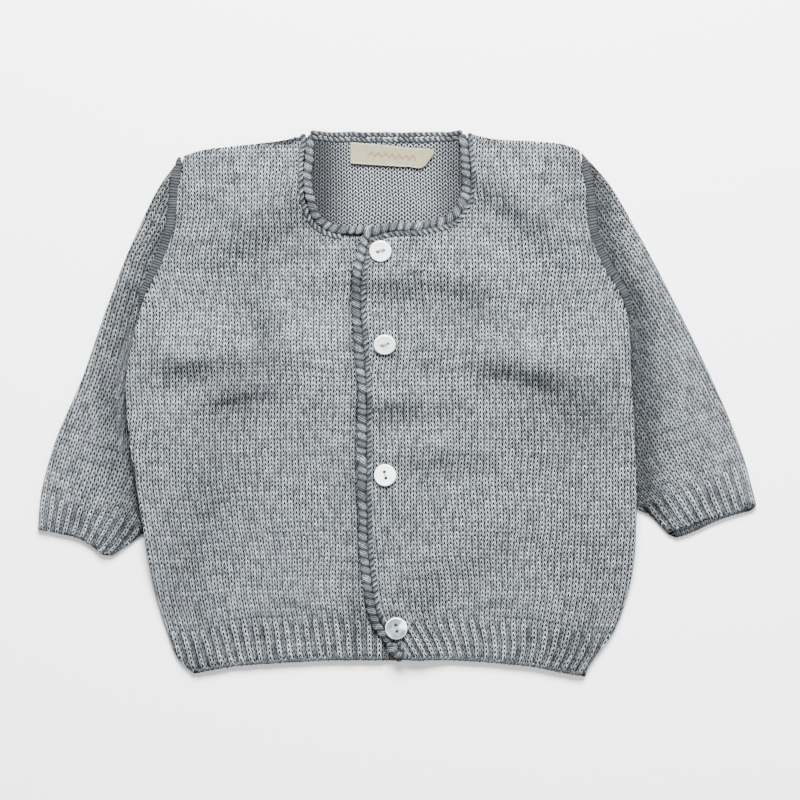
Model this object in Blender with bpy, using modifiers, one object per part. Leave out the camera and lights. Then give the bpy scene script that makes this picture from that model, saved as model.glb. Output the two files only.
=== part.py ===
"""Baby cardigan in plain knit, buttoned and laid flat on its back.

X runs to the wearer's left, Y up to the neck and Z away from the table. The origin is on the table, under the
middle of the garment. Sizes are in millimetres, and turn into metres where a mesh is made.

The sleeves are flat tubes that lie on the table, with their inner parts tucked under the body's sides. The back
rises over them, the right front lies on the back, and the left front laps over the right one.
"""

import math

import bmesh
import bpy
import numpy as np

MM = 0.001

# Cloth
CLOTH = 2.0  # one knitted wall
GAP = 0.3  # air between two pieces at a seam
LAYER = CLOTH + 0.45  # from one layer's underside to the next one's
AIR = 1.6  # how far the fronts stand off the back, away from their seams
LEAST_AIR = 0.6  # and in the deepest trough
ROLL = 1.6  # radius of the rounded side edges
EDGE_COLUMNS = (0.0, 0.5, 2.0)  # distances from a side edge of the points that round it

# Ribbing, a raised wale and a sunk one in turn
RIB_BAND = 22.0  # depth of the hem's and the cuffs' ribs
HEM_RIB = 0.7  # how far a hem rib stands up
CUFF_RIB = 0.6
RIB_SHAPE = (0.0, 0.5, 1.0, 0.5)  # height across one rib, in four steps

# Body outline: the side edges, armholes included, at each height
SIDES = {
    "y": (-142, -134, -122, -98, -60, -20, 16, 40, 57, 72, 90, 110, 129),
    "right": (-104.5, -113.2, -118.5, -125.9, -132.8, -139, -140.5, -135.4, -130.5, -123.9, -117, -114.6, -111.2),
    "left": (97.3, 102, 111, 120.6, 124.5, 123.7, 121.7, 120.6, 116.6, 107.8, 101.2, 99, 95.2),
}
HEM = {
    "x": (-106, -86, -66, -48, 0, 30, 52, 74, 87, 98),
    "y": (-141, -137.2, -135.6, -134.4, -134, -134, -135.4, -138, -140.6, -142.5),
}
SHOULDER = {
    "x": (-111.2, -106, -86, -57, -48, -42, 31, 38, 47, 75, 89, 95.2),
    "y": (128.4, 130.4, 133.6, 137.2, 139.8, 141.4, 142, 140.2, 138, 136, 134, 131.4),
}
BACK_TOP = {
    "x": (-111.2, -106, -86, -57, -49, -43, -36, 0, 26, 33, 40, 47, 75, 89, 95.2),
    "y": (128.4, 130.4, 133.6, 137, 138.4, 137.4, 136.2, 136, 136.4, 137.4, 138.8, 137.8, 136, 134, 131.4),
}
HEM_MIDDLE = -134.0
FRONT_TOP = 88.0  # height of the fronts' neck line
BACK_CORNER = 128.0  # height of the outer ends of the shoulders

# Crochet edging: its middle line, from the shoulder down the neck, round to the opening and down to the hem
EDGING_WIDTH = 4.8
EDGING_HEIGHT = 3.0
EDGING_PRESSED = 1.5  # its height where the other front lies on it
EDGING_STITCH = 4.5
EDGING_SLANT = 0.45
EDGING_RIGHT = {
    "x": (-44.8, -46.5, -45.2, -41.4, -34.3, -22.4, -4, 3.4, 5.6, 5.6, 5.6, 5.6),
    "y": (139.8, 118, 104.5, 95.9, 91.2, 89.9, 89.3, 86.4, 79, 20, -60, -133.6),
}
EDGING_LEFT = {
    "x": (33.9, 35.9, 34.6, 29.2, 14, -9, -16, -18.2, -18.1, -18, -15.9, -11.7, -1, 2.4),
    "y": (140.2, 118, 105.4, 97.2, 92.5, 89.9, 86.6, 79.5, 0, -55, -91, -112.3, -128.5, -134),
}
EDGING_BACK = {"x": (-41.6, -20, 0, 15, 30.6), "y": (139.2, 138.6, 138.5, 138.9, 139.5)}
HIDDEN_FROM = 62.0  # length of the right edging that shows, from the shoulder on
UNDERLAP_EDGE = 8.0  # where the right front ends, under the left one
OVERLAP_SLOPE = 10.0  # width over which the left front comes down past that end

# Sleeves: the outer edge, the hidden fold's place from underarm (0) to cuff (1), and the bend of each section
SLEEVE_RIGHT = {
    "along": (0, 0.09, 0.22, 0.41, 0.6, 0.79, 0.89, 1),
    "x": (-111, -122.5, -135.5, -150.6, -163.6, -179.2, -185, -187),
    "y": (128.4, 113.4, 88.9, 51.5, 14, -23.4, -45, -66),
    "fold": (0, 0.07, 0.17, 0.33, 0.52, 0.74, 0.87, 1),
    "bend": (0, 0, 0, 0, 1, 5, 12, 17),
    "bend_at": (0.5, 0.5, 0.5, 0.5, 0.5, 0.5, 0.5, 0.51),
}
SLEEVE_LEFT = {
    "along": (0, 0.106, 0.25, 0.458, 0.66, 0.8, 0.89, 1),
    "x": (95.4, 110.2, 125.3, 145.1, 163.3, 174.5, 181, 187.2),
    "y": (130.6, 113.9, 88.9, 51.5, 14, -11.7, -29.5, -53),
    "fold": (0, 0.07, 0.17, 0.35, 0.56, 0.74, 0.86, 1),
    "bend": (0, 0, 0, 1, 3, 8, 14, 19.5),
    "bend_at": (0.5, 0.5, 0.5, 0.5, 0.5, 0.5, 0.5, 0.5),
}
# Depth of the hidden fold inside the body's side edge; the minus keeps it clear beside the underarm
TUCK = {
    "fold": (0, 0.13, 0.22, 0.32, 0.43, 0.56, 0.7, 0.85, 1),
    "depth": (-0.5, -0.5, 9, 28, 42, 48, 42, 32, 19),
}
UNDERARM = {"right": 57.0, "left": 52.0}
FOLD_END = {"right": -59.0, "left": -43.0}
CUFF_AT_BODY = {"right": -69.0, "left": -57.0}
LIFT = 2 * CLOTH + GAP + CUFF_RIB + GAP  # the body's rise over a tucked sleeve
LIFT_SLOPE = 28.0
OVER_SLEEVES = 1.07  # the fronts rise a little more than the back does
SLEEVE_AIR = 1.8
SLEEVE_SEAM = 0.9  # between a sleeve's head and the armhole's line
SLEEVE_LENGTH = 205.0
CUFF_STEP = {"right": 0.0, "left": 2.6}  # how far a cuff's underside shows past its top

# Main creases of the fronts: a soft ridge beside a soft trough, along a line turned from the X axis
CREASES = {
    "x": (-98, -77, -72, -66, 4, 2, 26, 75, 100, 33, 58),
    "y": (18, 1, 40, 94, 59, -4, -31, 15, 2, -94, 98),
    "turn": (2, 12, 94, 24, -3, 2, 0, -12, -22, 26, -34),
    "long": (22, 14, 18, 24, 26, 20, 22, 24, 24, 26, 26),
    "wide": (6, 6, 6, 9, 6, 6, 6, 8, 9, 8, 8),
    "height": (1.1, 1.3, -1.0, 1.2, 0.7, 0.8, 0.6, 1.4, 0.8, 0.7, 0.6),
}

BUTTON_DIAMETER = 11.4
BUTTON_THICKNESS = 2.2
BUTTON_HOLE = 1.6
BUTTON_HOLE_SPACING = 3.3
BUTTONS = {
    "x": (-8.6, -6.4, -6.2, -0.4),
    "y": (79.2, 30.9, -37.4, -116.9),
    "turn": (15, 20, -77, -78),
    "tilt": (10, 12, 2, 3),
}

# Woven label inside the back neck
LABEL_CLOTH = 0.6
LABEL_LIFT = 1.2  # its free lower edge stands off the back by this much more
LABEL = {
    "x": (-24.2, -14, -4, 6, 14, 19.2),
    "top": (135.2, 134.6, 134.3, 133.9, 133.2, 132.2),
    "bottom": (124.4, 123.5, 123.2, 122.8, 122.9, 127.6),
}

GREY_KNIT = (0.30, 0.32, 0.33, 1.0)
PEARL = (0.78, 0.79, 0.77, 1.0)
LABEL_CREAM = (0.66, 0.61, 0.50, 1.0)


def through(at, known, values):
    """A smooth curve through known values: cubic pieces that share their slopes."""
    known, values = np.asarray(known, float), np.asarray(values, float)
    slopes = np.gradient(values, known)
    cell = np.clip(np.searchsorted(known, at) - 1, 0, len(known) - 2)
    step = known[cell + 1] - known[cell]
    t = np.clip((at - known[cell]) / step, 0, 1)
    start = (1 + 2 * t) * (1 - t) ** 2 * values[cell] + t * (1 - t) ** 2 * step * slopes[cell]
    end = (3 - 2 * t) * t**2 * values[cell + 1] - (1 - t) * t**2 * step * slopes[cell + 1]
    return start + end


def ease(value, low, high):
    """0 at low, 1 at high and a smooth S between."""
    t = np.clip((value - low) / (high - low), 0, 1)
    return t * t * (3 - 2 * t)


def blend(a, b, share):
    return a + (b - a) * share


# The garment's lie: where its edges are and how high each layer runs


def side_x(y, side):
    return through(y, SIDES["y"], SIDES[side])


def inward(side):
    return 1 if side == "right" else -1


def fold_point(fold, side):
    """A sleeve's hidden fold, from the underarm (0) to the cuff (1)."""
    y = blend(UNDERARM[side], FOLD_END[side], fold)
    return side_x(y, side) + inward(side) * through(fold, TUCK["fold"], TUCK["depth"]), y


def lift(x, y):
    """The body's rise over the two tucked sleeves."""
    total = 0
    for side in ("right", "left"):
        fold = np.clip((y - UNDERARM[side]) / (FOLD_END[side] - UNDERARM[side]), 0, 1)
        inside = inward(side) * (x - fold_point(fold, side)[0])
        over = 1 - ease(inside, 4, 4 + LIFT_SLOPE)
        below = ease(y, UNDERARM[side] + 12, UNDERARM[side] - 8)
        above = ease(y, CUFF_AT_BODY[side] - 22, CUFF_AT_BODY[side] - 1)
        total = total + LIFT * over * below * above
    return total


def creases(x, y):
    total = 0
    for cx, cy, turn, long, wide, height in zip(*CREASES.values()):
        c, s = math.cos(math.radians(turn)), math.sin(math.radians(turn))
        along = ((x - cx) * c + (y - cy) * s) / long
        across = ((y - cy) * c - (x - cx) * s) / wide
        total = total + height * 1.65 * across * np.exp(-(across**2 + along**2) / 2)
    return total


def front_floor(x, y, side):
    """The underside of a front: on the back, and for the left one on the right front as well."""
    inside = np.minimum(x - side_x(y, "right"), side_x(y, "left") - x)
    from_hem = y - through(x, HEM["x"], HEM["y"])
    from_shoulder = through(x, SHOULDER["x"], SHOULDER["y"]) - y
    free = ease(inside, 0, 22) * ease(from_hem, 0, 30) * ease(from_shoulder, 0, 20)
    height = LAYER + OVER_SLEEVES * lift(x, y) + free * np.maximum(AIR + creases(x, y), LEAST_AIR)
    if side == "left":
        laps = 1 - ease(x, UNDERLAP_EDGE + 1, UNDERLAP_EDGE + 1 + OVERLAP_SLOPE)
        ribbed = 1 - ease(from_hem, RIB_BAND, RIB_BAND + 10)
        height = height + laps * (LAYER + ribbed * HEM_RIB)
    return height


def roll(distance):
    """How far a surface has turned in, at this distance from its rounded edge."""
    t = np.clip(distance / ROLL, 0, 1)
    return ROLL * (1 - np.sqrt(1 - (1 - t) ** 2))


# Meshes


def new_object(name, bm, material, collection):
    mesh = bpy.data.meshes.new(name)
    bm.to_mesh(mesh)
    bm.free()
    mesh.materials.append(material)
    mesh.shade_smooth()
    mesh.set_sharp_from_angle(angle=math.radians(50))
    piece = bpy.data.objects.new(name, mesh)
    collection.objects.link(piece)
    return piece


def add_row(bm, points):
    return [bm.verts.new(point) for point in np.asarray(points) * MM]


def join_rows(bm, sparse, fine):
    """Faces between two rows of points, where each cell of the first meets the same number in the second."""
    if len(sparse) > len(fine):
        sparse, fine = fine, sparse
    share = (len(fine) - 1) // (len(sparse) - 1)
    for cell in range(len(sparse) - 1):
        run = fine[cell * share : (cell + 1) * share + 1]
        bm.faces.new([sparse[cell], sparse[cell + 1], *reversed(run)])


def add_sheet(bm, rows):
    """A surface through rows of points, each row as dense as its neighbour or a whole number of times denser."""
    corners = [add_row(bm, row) for row in rows]
    for lower, upper in zip(corners, corners[1:]):
        join_rows(bm, lower, upper)
    return corners


def close_wall(bm):
    """Weld the sheets and rims of a wall, split its faces into triangles and turn them outwards."""
    bmesh.ops.remove_doubles(bm, verts=bm.verts, dist=1e-7)
    bmesh.ops.triangulate(bm, faces=bm.faces)
    bmesh.ops.recalc_face_normals(bm, faces=bm.faces)


def spread(width, cells, both=False):
    """Columns across a width, as shares: those that round the first edge, then even ones."""
    near = np.array(EDGE_COLUMNS)
    if both:
        even = np.linspace(near[-1], width - near[-1], cells + 1)[1:-1]
        return np.concatenate([near, even, width - near[::-1]]) / width
    return np.concatenate([near, np.linspace(near[-1], width, cells + 1)[1:]]) / width


def refine(row, steps):
    """The same row with each cell cut into equal steps."""
    places = np.arange(len(row))
    finer = np.linspace(0, len(row) - 1, (len(row) - 1) * steps + 1)
    return np.stack([np.interp(finer, places, column) for column in np.asarray(row).T], axis=1)


def rib_heights(cells, plain, height):
    """Heights across a ribbed row; the plain cells at its ends have none."""
    heights = np.tile(np.array(RIB_SHAPE) * height, cells)
    steps = len(RIB_SHAPE)
    heights[: plain[0] * steps] = 0
    heights[len(heights) - plain[1] * steps :] = 0
    return np.append(heights, 0)


# Panels

BAND_ROWS = (0.0, 4.0, 12.0, 20.0)  # heights above the hem of the ribbed rows
FACE_ROWS = np.linspace(RIB_BAND + 4, FRONT_TOP - HEM_MIDDLE, 21)  # and of the plain ones
STRAP_ROWS = 5
FRONT_COLUMNS = {"right": (12, 8), "left": (10, 8)}  # columns under the shoulder and under the neck


def line_through(line, count=400):
    """Even points along the smooth curve through a line's table, and the unit direction at each."""
    known = np.stack([line["x"], line["y"]], axis=1).astype(float)
    length = np.append(0, np.cumsum(np.hypot(*np.diff(known, axis=0).T)))
    at = np.linspace(0, length[-1], count)
    points = np.stack([through(at, length, known[:, 0]), through(at, length, known[:, 1])], axis=1)
    direction = np.gradient(points, axis=0)
    return points, direction / np.linalg.norm(direction, axis=1)[:, None]


def opening_edge(side):
    """A front's edge along the neck and the opening, clear of its edging, and the places of its two corners."""
    points, direction = line_through(EDGING_RIGHT if side == "right" else EDGING_LEFT)
    clear = EDGING_WIDTH / 2 + 1.5 * GAP
    outward = np.stack([direction[:, 1], -direction[:, 0]], axis=1) * inward(side)
    level = np.abs(direction[:, 0]) > 0.71
    neck_corner = int(np.argmax(level))
    front_corner = neck_corner + int(np.argmax(~level[neck_corner:]))
    return points + outward * clear, neck_corner, front_corner


def hem_end(side):
    return HEM["y"][0] if side == "right" else HEM["y"][-1]


def pick(points, first, last, cells):
    """Even points of a curve from one place on it to another."""
    at = np.linspace(first, last, cells + 1)
    places = np.arange(len(points))
    return np.stack([np.interp(at, places, points[:, 0]), np.interp(at, places, points[:, 1])], axis=1)


def front_plan(side):
    """Points of a front seen from above: rows from the hem to the neck line, then the shoulder strap's rows."""
    edge, neck_corner, front_corner = opening_edge(side)
    under_shoulder, under_neck = FRONT_COLUMNS[side]
    strap_end = len(EDGE_COLUMNS) - 1 + under_shoulder
    corner = edge[neck_corner]
    top_side = np.array([side_x(corner[1], side), corner[1]])
    shares = spread(abs(corner[0] - top_side[0]), under_shoulder)[:, None]
    top = np.concatenate([blend(top_side, corner, shares), pick(edge, neck_corner, front_corner, under_neck)[1:]])
    columns = len(top) - 1
    top_shares = (top[:, 0] - top_side[0]) / (top[-1, 0] - top_side[0])
    drop = top[:, 1] - FRONT_TOP
    opening = edge[front_corner:][::-1]
    rows = []
    height = FRONT_TOP - HEM_MIDDLE
    for v in np.append(BAND_ROWS, FACE_ROWS) / height:
        y = HEM_MIDDLE + height * v
        start = side_x(y + (hem_end(side) - HEM_MIDDLE) * (1 - v) ** 3 + drop[0] * v**6, side)
        end = np.interp(y + drop[-1] * v**6, opening[:, 1], opening[:, 0])
        even = spread(abs(end - start), columns - len(EDGE_COLUMNS) + 1)
        x = start + (end - start) * blend(even, top_shares, v**2)
        dip = (through(x, HEM["x"], HEM["y"]) - HEM_MIDDLE) * (1 - v) ** 3
        rows.append(np.stack([x, y + dip + drop * v**6], axis=1))
    rows[-1] = top
    neck = pick(edge, neck_corner, 0, STRAP_ROWS)
    shoulder_end = SHOULDER["y"][0] if side == "right" else SHOULDER["y"][-1]
    strap = []
    for row in range(1, STRAP_ROWS + 1):
        share = row / STRAP_ROWS
        y = blend(corner[1], shoulder_end, share)
        start = np.array([side_x(y, side), y])
        shares = spread(abs(neck[row][0] - start[0]), under_shoulder)
        points = blend(start, neck[row], shares[:, None])
        crown = through(points[:, 0], SHOULDER["x"], SHOULDER["y"]) - blend(shoulder_end, neck[-1][1], shares)
        points[:, 1] += crown * share**2
        strap.append(points)
    return rows, strap, strap_end


def make_front(side, material, collection):
    """One front: a ribbed hem, a plain knitted face and a shoulder strap beside the neck."""
    rows, strap, strap_end = front_plan(side)
    band = len(BAND_ROWS)

    def under(points):
        return np.column_stack([points, front_floor(points[:, 0], points[:, 1], side)])

    def over(points):
        distance = np.abs(points[:, 0] - points[0, 0])
        return under(points) + np.outer(CLOTH - roll(distance), (0, 0, 1))

    cells = len(rows[0]) - 1
    ribs = rib_heights(cells, (len(EDGE_COLUMNS) - 1, 0), HEM_RIB)
    outer = [over(points) for points in rows]
    for row in range(band):
        outer[row] = refine(outer[row], len(RIB_SHAPE))
        outer[row][:, 2] += ribs
    inner = [under(points[::2]) for points in rows]
    bm = bmesh.new()
    face = add_sheet(bm, outer)
    lining = add_sheet(bm, inner)
    strap_face = add_sheet(bm, [over(rows[-1][: strap_end + 1])] + [over(points) for points in strap])
    strap_lining = add_sheet(bm, [under(points[::2]) for points in [rows[-1][: strap_end + 1]] + strap])
    join_rows(bm, lining[0], face[0])
    join_rows(bm, lining[-1][strap_end // 2 :], face[-1][strap_end:])
    join_rows(bm, strap_lining[-1], strap_face[-1])
    for front, behind in ((face, lining), (strap_face, strap_lining)):
        join_rows(bm, [row[0] for row in behind], [row[0] for row in front])
        join_rows(bm, [row[-1] for row in behind], [row[-1] for row in front])
    close_wall(bm)
    return new_object(f"front_{side}", bm, material, collection)


BACK_COLUMNS = 20


def make_back(material, collection):
    """The back: flat on the table in its middle, with its sides risen over the sleeves."""
    height = BACK_CORNER - HEM_MIDDLE
    strap_rows = np.linspace(FACE_ROWS[-1], height, STRAP_ROWS + 1)[1:]
    top, bottom = [], []
    for v in np.concatenate([[0, 12], FACE_ROWS, strap_rows]) / height:
        y = HEM_MIDDLE + height * v
        ends = [side_x(y + (hem_end(side) - HEM_MIDDLE) * (1 - v) ** 3, side) for side in ("right", "left")]
        x = ends[0] + (ends[1] - ends[0]) * spread(ends[1] - ends[0], BACK_COLUMNS, both=True)
        dip = (through(x, HEM["x"], HEM["y"]) - HEM_MIDDLE) * (1 - v) ** 3
        crown = (through(x, BACK_TOP["x"], BACK_TOP["y"]) - BACK_CORNER) * v**6
        y = y + dip + crown
        z = lift(x, y)
        rounded = roll(np.minimum(x - x[0], x[-1] - x))
        bottom.append(np.column_stack([x, y, z + rounded]))
        top.append(np.column_stack([x, y, z + CLOTH])[::2])
    bm = bmesh.new()
    face = add_sheet(bm, top)
    underside = add_sheet(bm, bottom)
    join_rows(bm, face[0], underside[0])
    join_rows(bm, face[-1], underside[-1])
    join_rows(bm, [row[0] for row in face], [row[0] for row in underside])
    join_rows(bm, [row[-1] for row in face], [row[-1] for row in underside])
    close_wall(bm)
    return new_object("back", bm, material, collection)


# Sleeves

SLEEVE_ROWS = 15
CUFF_ROWS = (0.9, 0.95, 1.0)
SLEEVE_COLUMNS = 20
HEAD = 0.25  # share of a sleeve over which its sections turn from the armhole's line to their own


def sleeve_plan(across, along, side):
    """Points of a sleeve seen from above, across from its outer edge (0) to its hidden fold (1)."""
    rows = SLEEVE_RIGHT if side == "right" else SLEEVE_LEFT
    outer = [through(along, rows["along"], rows[key]) for key in ("x", "y")]
    inner = fold_point(through(along, rows["along"], rows["fold"]), side)
    bend = through(along, rows["along"], rows["bend"])
    bend_at = through(along, rows["along"], rows["bend_at"])
    dx, dy = inner[0] - outer[0], inner[1] - outer[1]
    width = np.hypot(dx, dy)
    hat = np.minimum(across / bend_at, (1 - across) / (1 - bend_at)) * bend * inward(side)
    x = outer[0] + dx * across + hat * dy / width
    y = outer[1] + dy * across - hat * dx / width
    start = [through(0.0, rows["along"], rows[key]) for key in ("x", "y")]
    under = fold_point(0.0, side)
    seam_y = blend(start[1], under[1], across)
    seam_x = side_x(seam_y, side) - inward(side) * SLEEVE_SEAM
    head = 1 - ease(along, 0, HEAD)
    return x + (seam_x - blend(start[0], under[0], across)) * head, y, width


def sleeve_air(x, y, across, along, side):
    """How far a sleeve's top wall stands off its lower one, where the body does not press it."""
    outside = -inward(side) * (x - side_x(y, side))
    return SLEEVE_AIR * 4 * across * (1 - across) * ease(outside, 4, 16) * ease(along, 0, 0.1)


def make_sleeve(side, material, collection):
    """A flat tube, open at the armhole and the cuff, with a ribbed cuff on its top wall."""
    middle = CLOTH + GAP / 2  # half the flat tube's height
    fine = np.append(np.linspace(0, CUFF_ROWS[0] - 0.015, SLEEVE_ROWS), CUFF_ROWS)
    sparse = np.linspace(0, 1, 12)

    def row(along, inset, cells, upper, outside):
        width = sleeve_plan(np.array([0.5]), along, side)[2]
        if outside:
            across = spread(float(width), cells, both=True)
        else:
            across = np.linspace(inset / width, 1 - inset / width, cells + 1).ravel()
        distance = np.minimum(across, 1 - across) * width
        free = ease(distance, inset, 12)
        shown = along
        if upper:
            shown = along - CUFF_STEP[side] / SLEEVE_LENGTH * free * ease(along, 0.5, 1)
        x, y, _ = sleeve_plan(across, shown, side)
        if outside:
            turned = roll(distance) * middle / ROLL
            z = 2 * middle - turned if upper else turned
        else:
            z = np.where(distance > inset + 0.01, middle + (GAP / 2 if upper else -GAP / 2), middle)
        if upper:
            z = z + sleeve_air(x, y, across, along, side) * free
        return np.column_stack([x, y, z])

    ribs = rib_heights(SLEEVE_COLUMNS + 4, (2, 2), CUFF_RIB)
    face = []
    for along in fine:
        points = row(along, 0, SLEEVE_COLUMNS, True, True)
        if along >= CUFF_ROWS[0]:
            points = refine(points, len(RIB_SHAPE))
            points[:, 2] += ribs
        face.append(points)
    bm = bmesh.new()
    face = add_sheet(bm, face)
    underside = add_sheet(bm, [row(along, 0, 8, False, True) for along in fine])
    top_lining = add_sheet(bm, [row(along, CLOTH, 12, True, False) for along in sparse])
    low_lining = add_sheet(bm, [row(along, CLOTH, 6, False, False) for along in sparse])
    for end in (0, -1):
        join_rows(bm, top_lining[end], face[end])
        join_rows(bm, low_lining[end], underside[end])
    close_wall(bm)
    return new_object(f"sleeve_{side}", bm, material, collection)


# Crochet edging

CORD_SIDES = 6


def make_edging(name, line, floor, hidden_from, material, collection):
    """A cord of slanted stitches: six-sided rings along its line, full at each stitch and drawn in between."""
    points, direction = line_through(line)
    length = np.append(0, np.cumsum(np.hypot(*np.diff(points, axis=0).T)))
    stitches = int(round(min(length[-1], hidden_from) / EDGING_STITCH))
    at = np.linspace(0, min(length[-1], hidden_from), 2 * stitches + 1)
    full = np.where(np.arange(len(at)) % 2 == 1, 1.0, 0.8)
    tall = np.full(len(at), EDGING_HEIGHT)
    if length[-1] > hidden_from:
        rest = np.linspace(hidden_from, length[-1], 32)[1:]
        at, full = np.append(at, rest), np.append(full, np.full(len(rest), 0.9))
        tall = np.append(tall, blend(EDGING_HEIGHT, EDGING_PRESSED, np.minimum((rest - hidden_from) / 5, 1)))
    angle = np.linspace(0, 2 * math.pi, CORD_SIDES, endpoint=False) - math.pi / 2
    centre = np.stack([np.interp(at, length, points[:, axis]) for axis in (0, 1)], axis=1)
    ahead = np.stack([np.interp(at, length, direction[:, axis]) for axis in (0, 1)], axis=1)
    beside = np.stack([ahead[:, 1], -ahead[:, 0]], axis=1)
    across = np.outer(full, np.cos(angle)) * EDGING_WIDTH / 2
    slant = EDGING_SLANT * np.where(tall < EDGING_HEIGHT, 0, 1) * ease(at, 0, 3) * ease(length[-1] - at, 0, 3)
    plan = centre[:, None] + beside[:, None] * across[..., None]
    plan = plan + ahead[:, None] * (across * slant[:, None])[..., None]
    z = floor(plan[..., 0], plan[..., 1]) + tall[:, None] * (1 + np.outer(full, np.sin(angle))) / 2
    rings = np.concatenate([plan, z[..., None]], axis=2)
    bm = bmesh.new()
    corners = [add_row(bm, ring) for ring in rings]
    for ring, following in zip(corners, corners[1:]):
        join_rows(bm, ring + ring[:1], following + following[:1])
    bm.faces.new(corners[0])
    bm.faces.new(corners[-1])
    close_wall(bm)
    return new_object(name, bm, material, collection)


# Buttons and label

BUTTON_RIM = 0.9  # width of the raised rim
BUTTON_DISH = 0.5  # how far the middle lies below the rim
BUTTON_STEPS = 20


def make_button(number, x, y, turn, tilt, material, collection, cutters):
    """A turned button with a raised rim, a sunk middle and two sewing holes."""
    radius, thick = BUTTON_DIAMETER / 2, BUTTON_THICKNESS
    profile = (
        (0, thick - BUTTON_DISH),
        (radius - BUTTON_RIM - 0.9, thick - BUTTON_DISH),
        (radius - BUTTON_RIM, thick),
        (radius - 0.3, thick - 0.1),
        (radius, thick * 0.6),
        (radius - 0.7, 0),
        (0, 0),
    )
    mesh = bpy.data.meshes.new(f"button_{number}")
    points = [(along * MM, 0, up * MM) for along, up in profile]
    mesh.from_pydata(points, [(i, i + 1) for i in range(len(points) - 1)], [])
    mesh.materials.append(material)
    button = bpy.data.objects.new(f"button_{number}", mesh)
    collection.objects.link(button)
    stand = front_floor(x, y, "left") + CLOTH + GAP + radius * math.sin(math.radians(tilt)) + 0.3
    button.location = (x * MM, y * MM, float(stand) * MM)
    button.rotation_euler = (math.radians(tilt), 0, 0)
    screw = button.modifiers.new("turned", "SCREW")
    screw.steps = screw.render_steps = BUTTON_STEPS
    screw.use_merge_vertices = True
    screw.merge_threshold = 0.00001
    for end in (-1, 1):
        drill = make_drill(f"drill_{number}_{'a' if end < 0 else 'b'}", cutters)
        reach = end * BUTTON_HOLE_SPACING / 2 * MM
        angle = math.radians(turn)
        drill.parent = button
        drill.location = (reach * math.cos(angle), reach * math.sin(angle), thick / 2 * MM)
        hole = button.modifiers.new("hole", "BOOLEAN")
        hole.operation = "DIFFERENCE"
        hole.object = drill
    return button


def make_drill(name, cutters):
    bm = bmesh.new()
    radius = BUTTON_HOLE / 2 * MM
    depth = 3 * BUTTON_THICKNESS * MM
    bmesh.ops.create_cone(bm, cap_ends=True, segments=8, radius1=radius, radius2=radius, depth=depth)
    mesh = bpy.data.meshes.new(name)
    bm.to_mesh(mesh)
    bm.free()
    drill = bpy.data.objects.new(name, mesh)
    drill.hide_render = True
    drill.display_type = "WIRE"
    cutters.objects.link(drill)
    return drill


def make_label(material, collection):
    """A woven tape sewn to the back along its top edge, with its lower edge standing off a little."""
    at = np.linspace(LABEL["x"][0], LABEL["x"][-1], 13)
    top = through(at, LABEL["x"], LABEL["top"])
    bottom = through(at, LABEL["x"], LABEL["bottom"])
    under, over = [], []
    for share in (0, 0.4, 0.75, 1):
        y = blend(top, bottom, share)
        z = LAYER + LABEL_LIFT * share**2 + 0 * y
        under.append(np.column_stack([at, y, z]))
        over.append(np.column_stack([at, y, z + LABEL_CLOTH]))
    bm = bmesh.new()
    face = add_sheet(bm, over)
    behind = add_sheet(bm, under)
    for end in (0, -1):
        join_rows(bm, behind[end], face[end])
        join_rows(bm, [row[end] for row in behind], [row[end] for row in face])
    close_wall(bm)
    return new_object("label", bm, material, collection)


def new_material(name, colour, roughness):
    material = bpy.data.materials.new(name)
    material.use_nodes = True
    shader = material.node_tree.nodes["Principled BSDF"]
    shader.inputs["Base Color"].default_value = colour
    shader.inputs["Roughness"].default_value = roughness
    shader.inputs["Metallic"].default_value = 0.0
    return material


def new_collection(name):
    collection = bpy.data.collections.new(name)
    bpy.context.scene.collection.children.link(collection)
    return collection


def main():
    for piece in list(bpy.data.objects):
        bpy.data.objects.remove(piece)
    parts, cutters = new_collection("baby_cardigan"), new_collection("cutters")
    knit = new_material("knit", GREY_KNIT, 0.95)
    crochet = new_material("crochet", GREY_KNIT, 0.9)
    pearl = new_material("pearl", PEARL, 0.25)
    tape = new_material("tape", LABEL_CREAM, 0.8)
    make_back(knit, parts)
    for side in ("right", "left"):
        make_front(side, knit, parts)
        make_sleeve(side, knit, parts)
    make_edging(
        "edging_right", EDGING_RIGHT, lambda x, y: front_floor(x, y, "right"), HIDDEN_FROM, crochet, parts
    )
    make_edging("edging_left", EDGING_LEFT, lambda x, y: front_floor(x, y, "left"), 1e6, crochet, parts)
    make_edging("edging_back", EDGING_BACK, lambda x, y: 0.2 + 0 * x, 1e6, crochet, parts)
    for number, row in enumerate(zip(*BUTTONS.values()), 1):
        make_button(number, *row, pearl, parts, cutters)
    make_label(tape, parts)


main()
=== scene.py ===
"""Baby cardigan in plain knit, buttoned and laid flat: the finished look of each piece.

Sizes and plan coordinates are in millimetres, X to the wearer's left and Y to the neck, and turn into metres
where a mesh is made. Colours are linear.
"""

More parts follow.
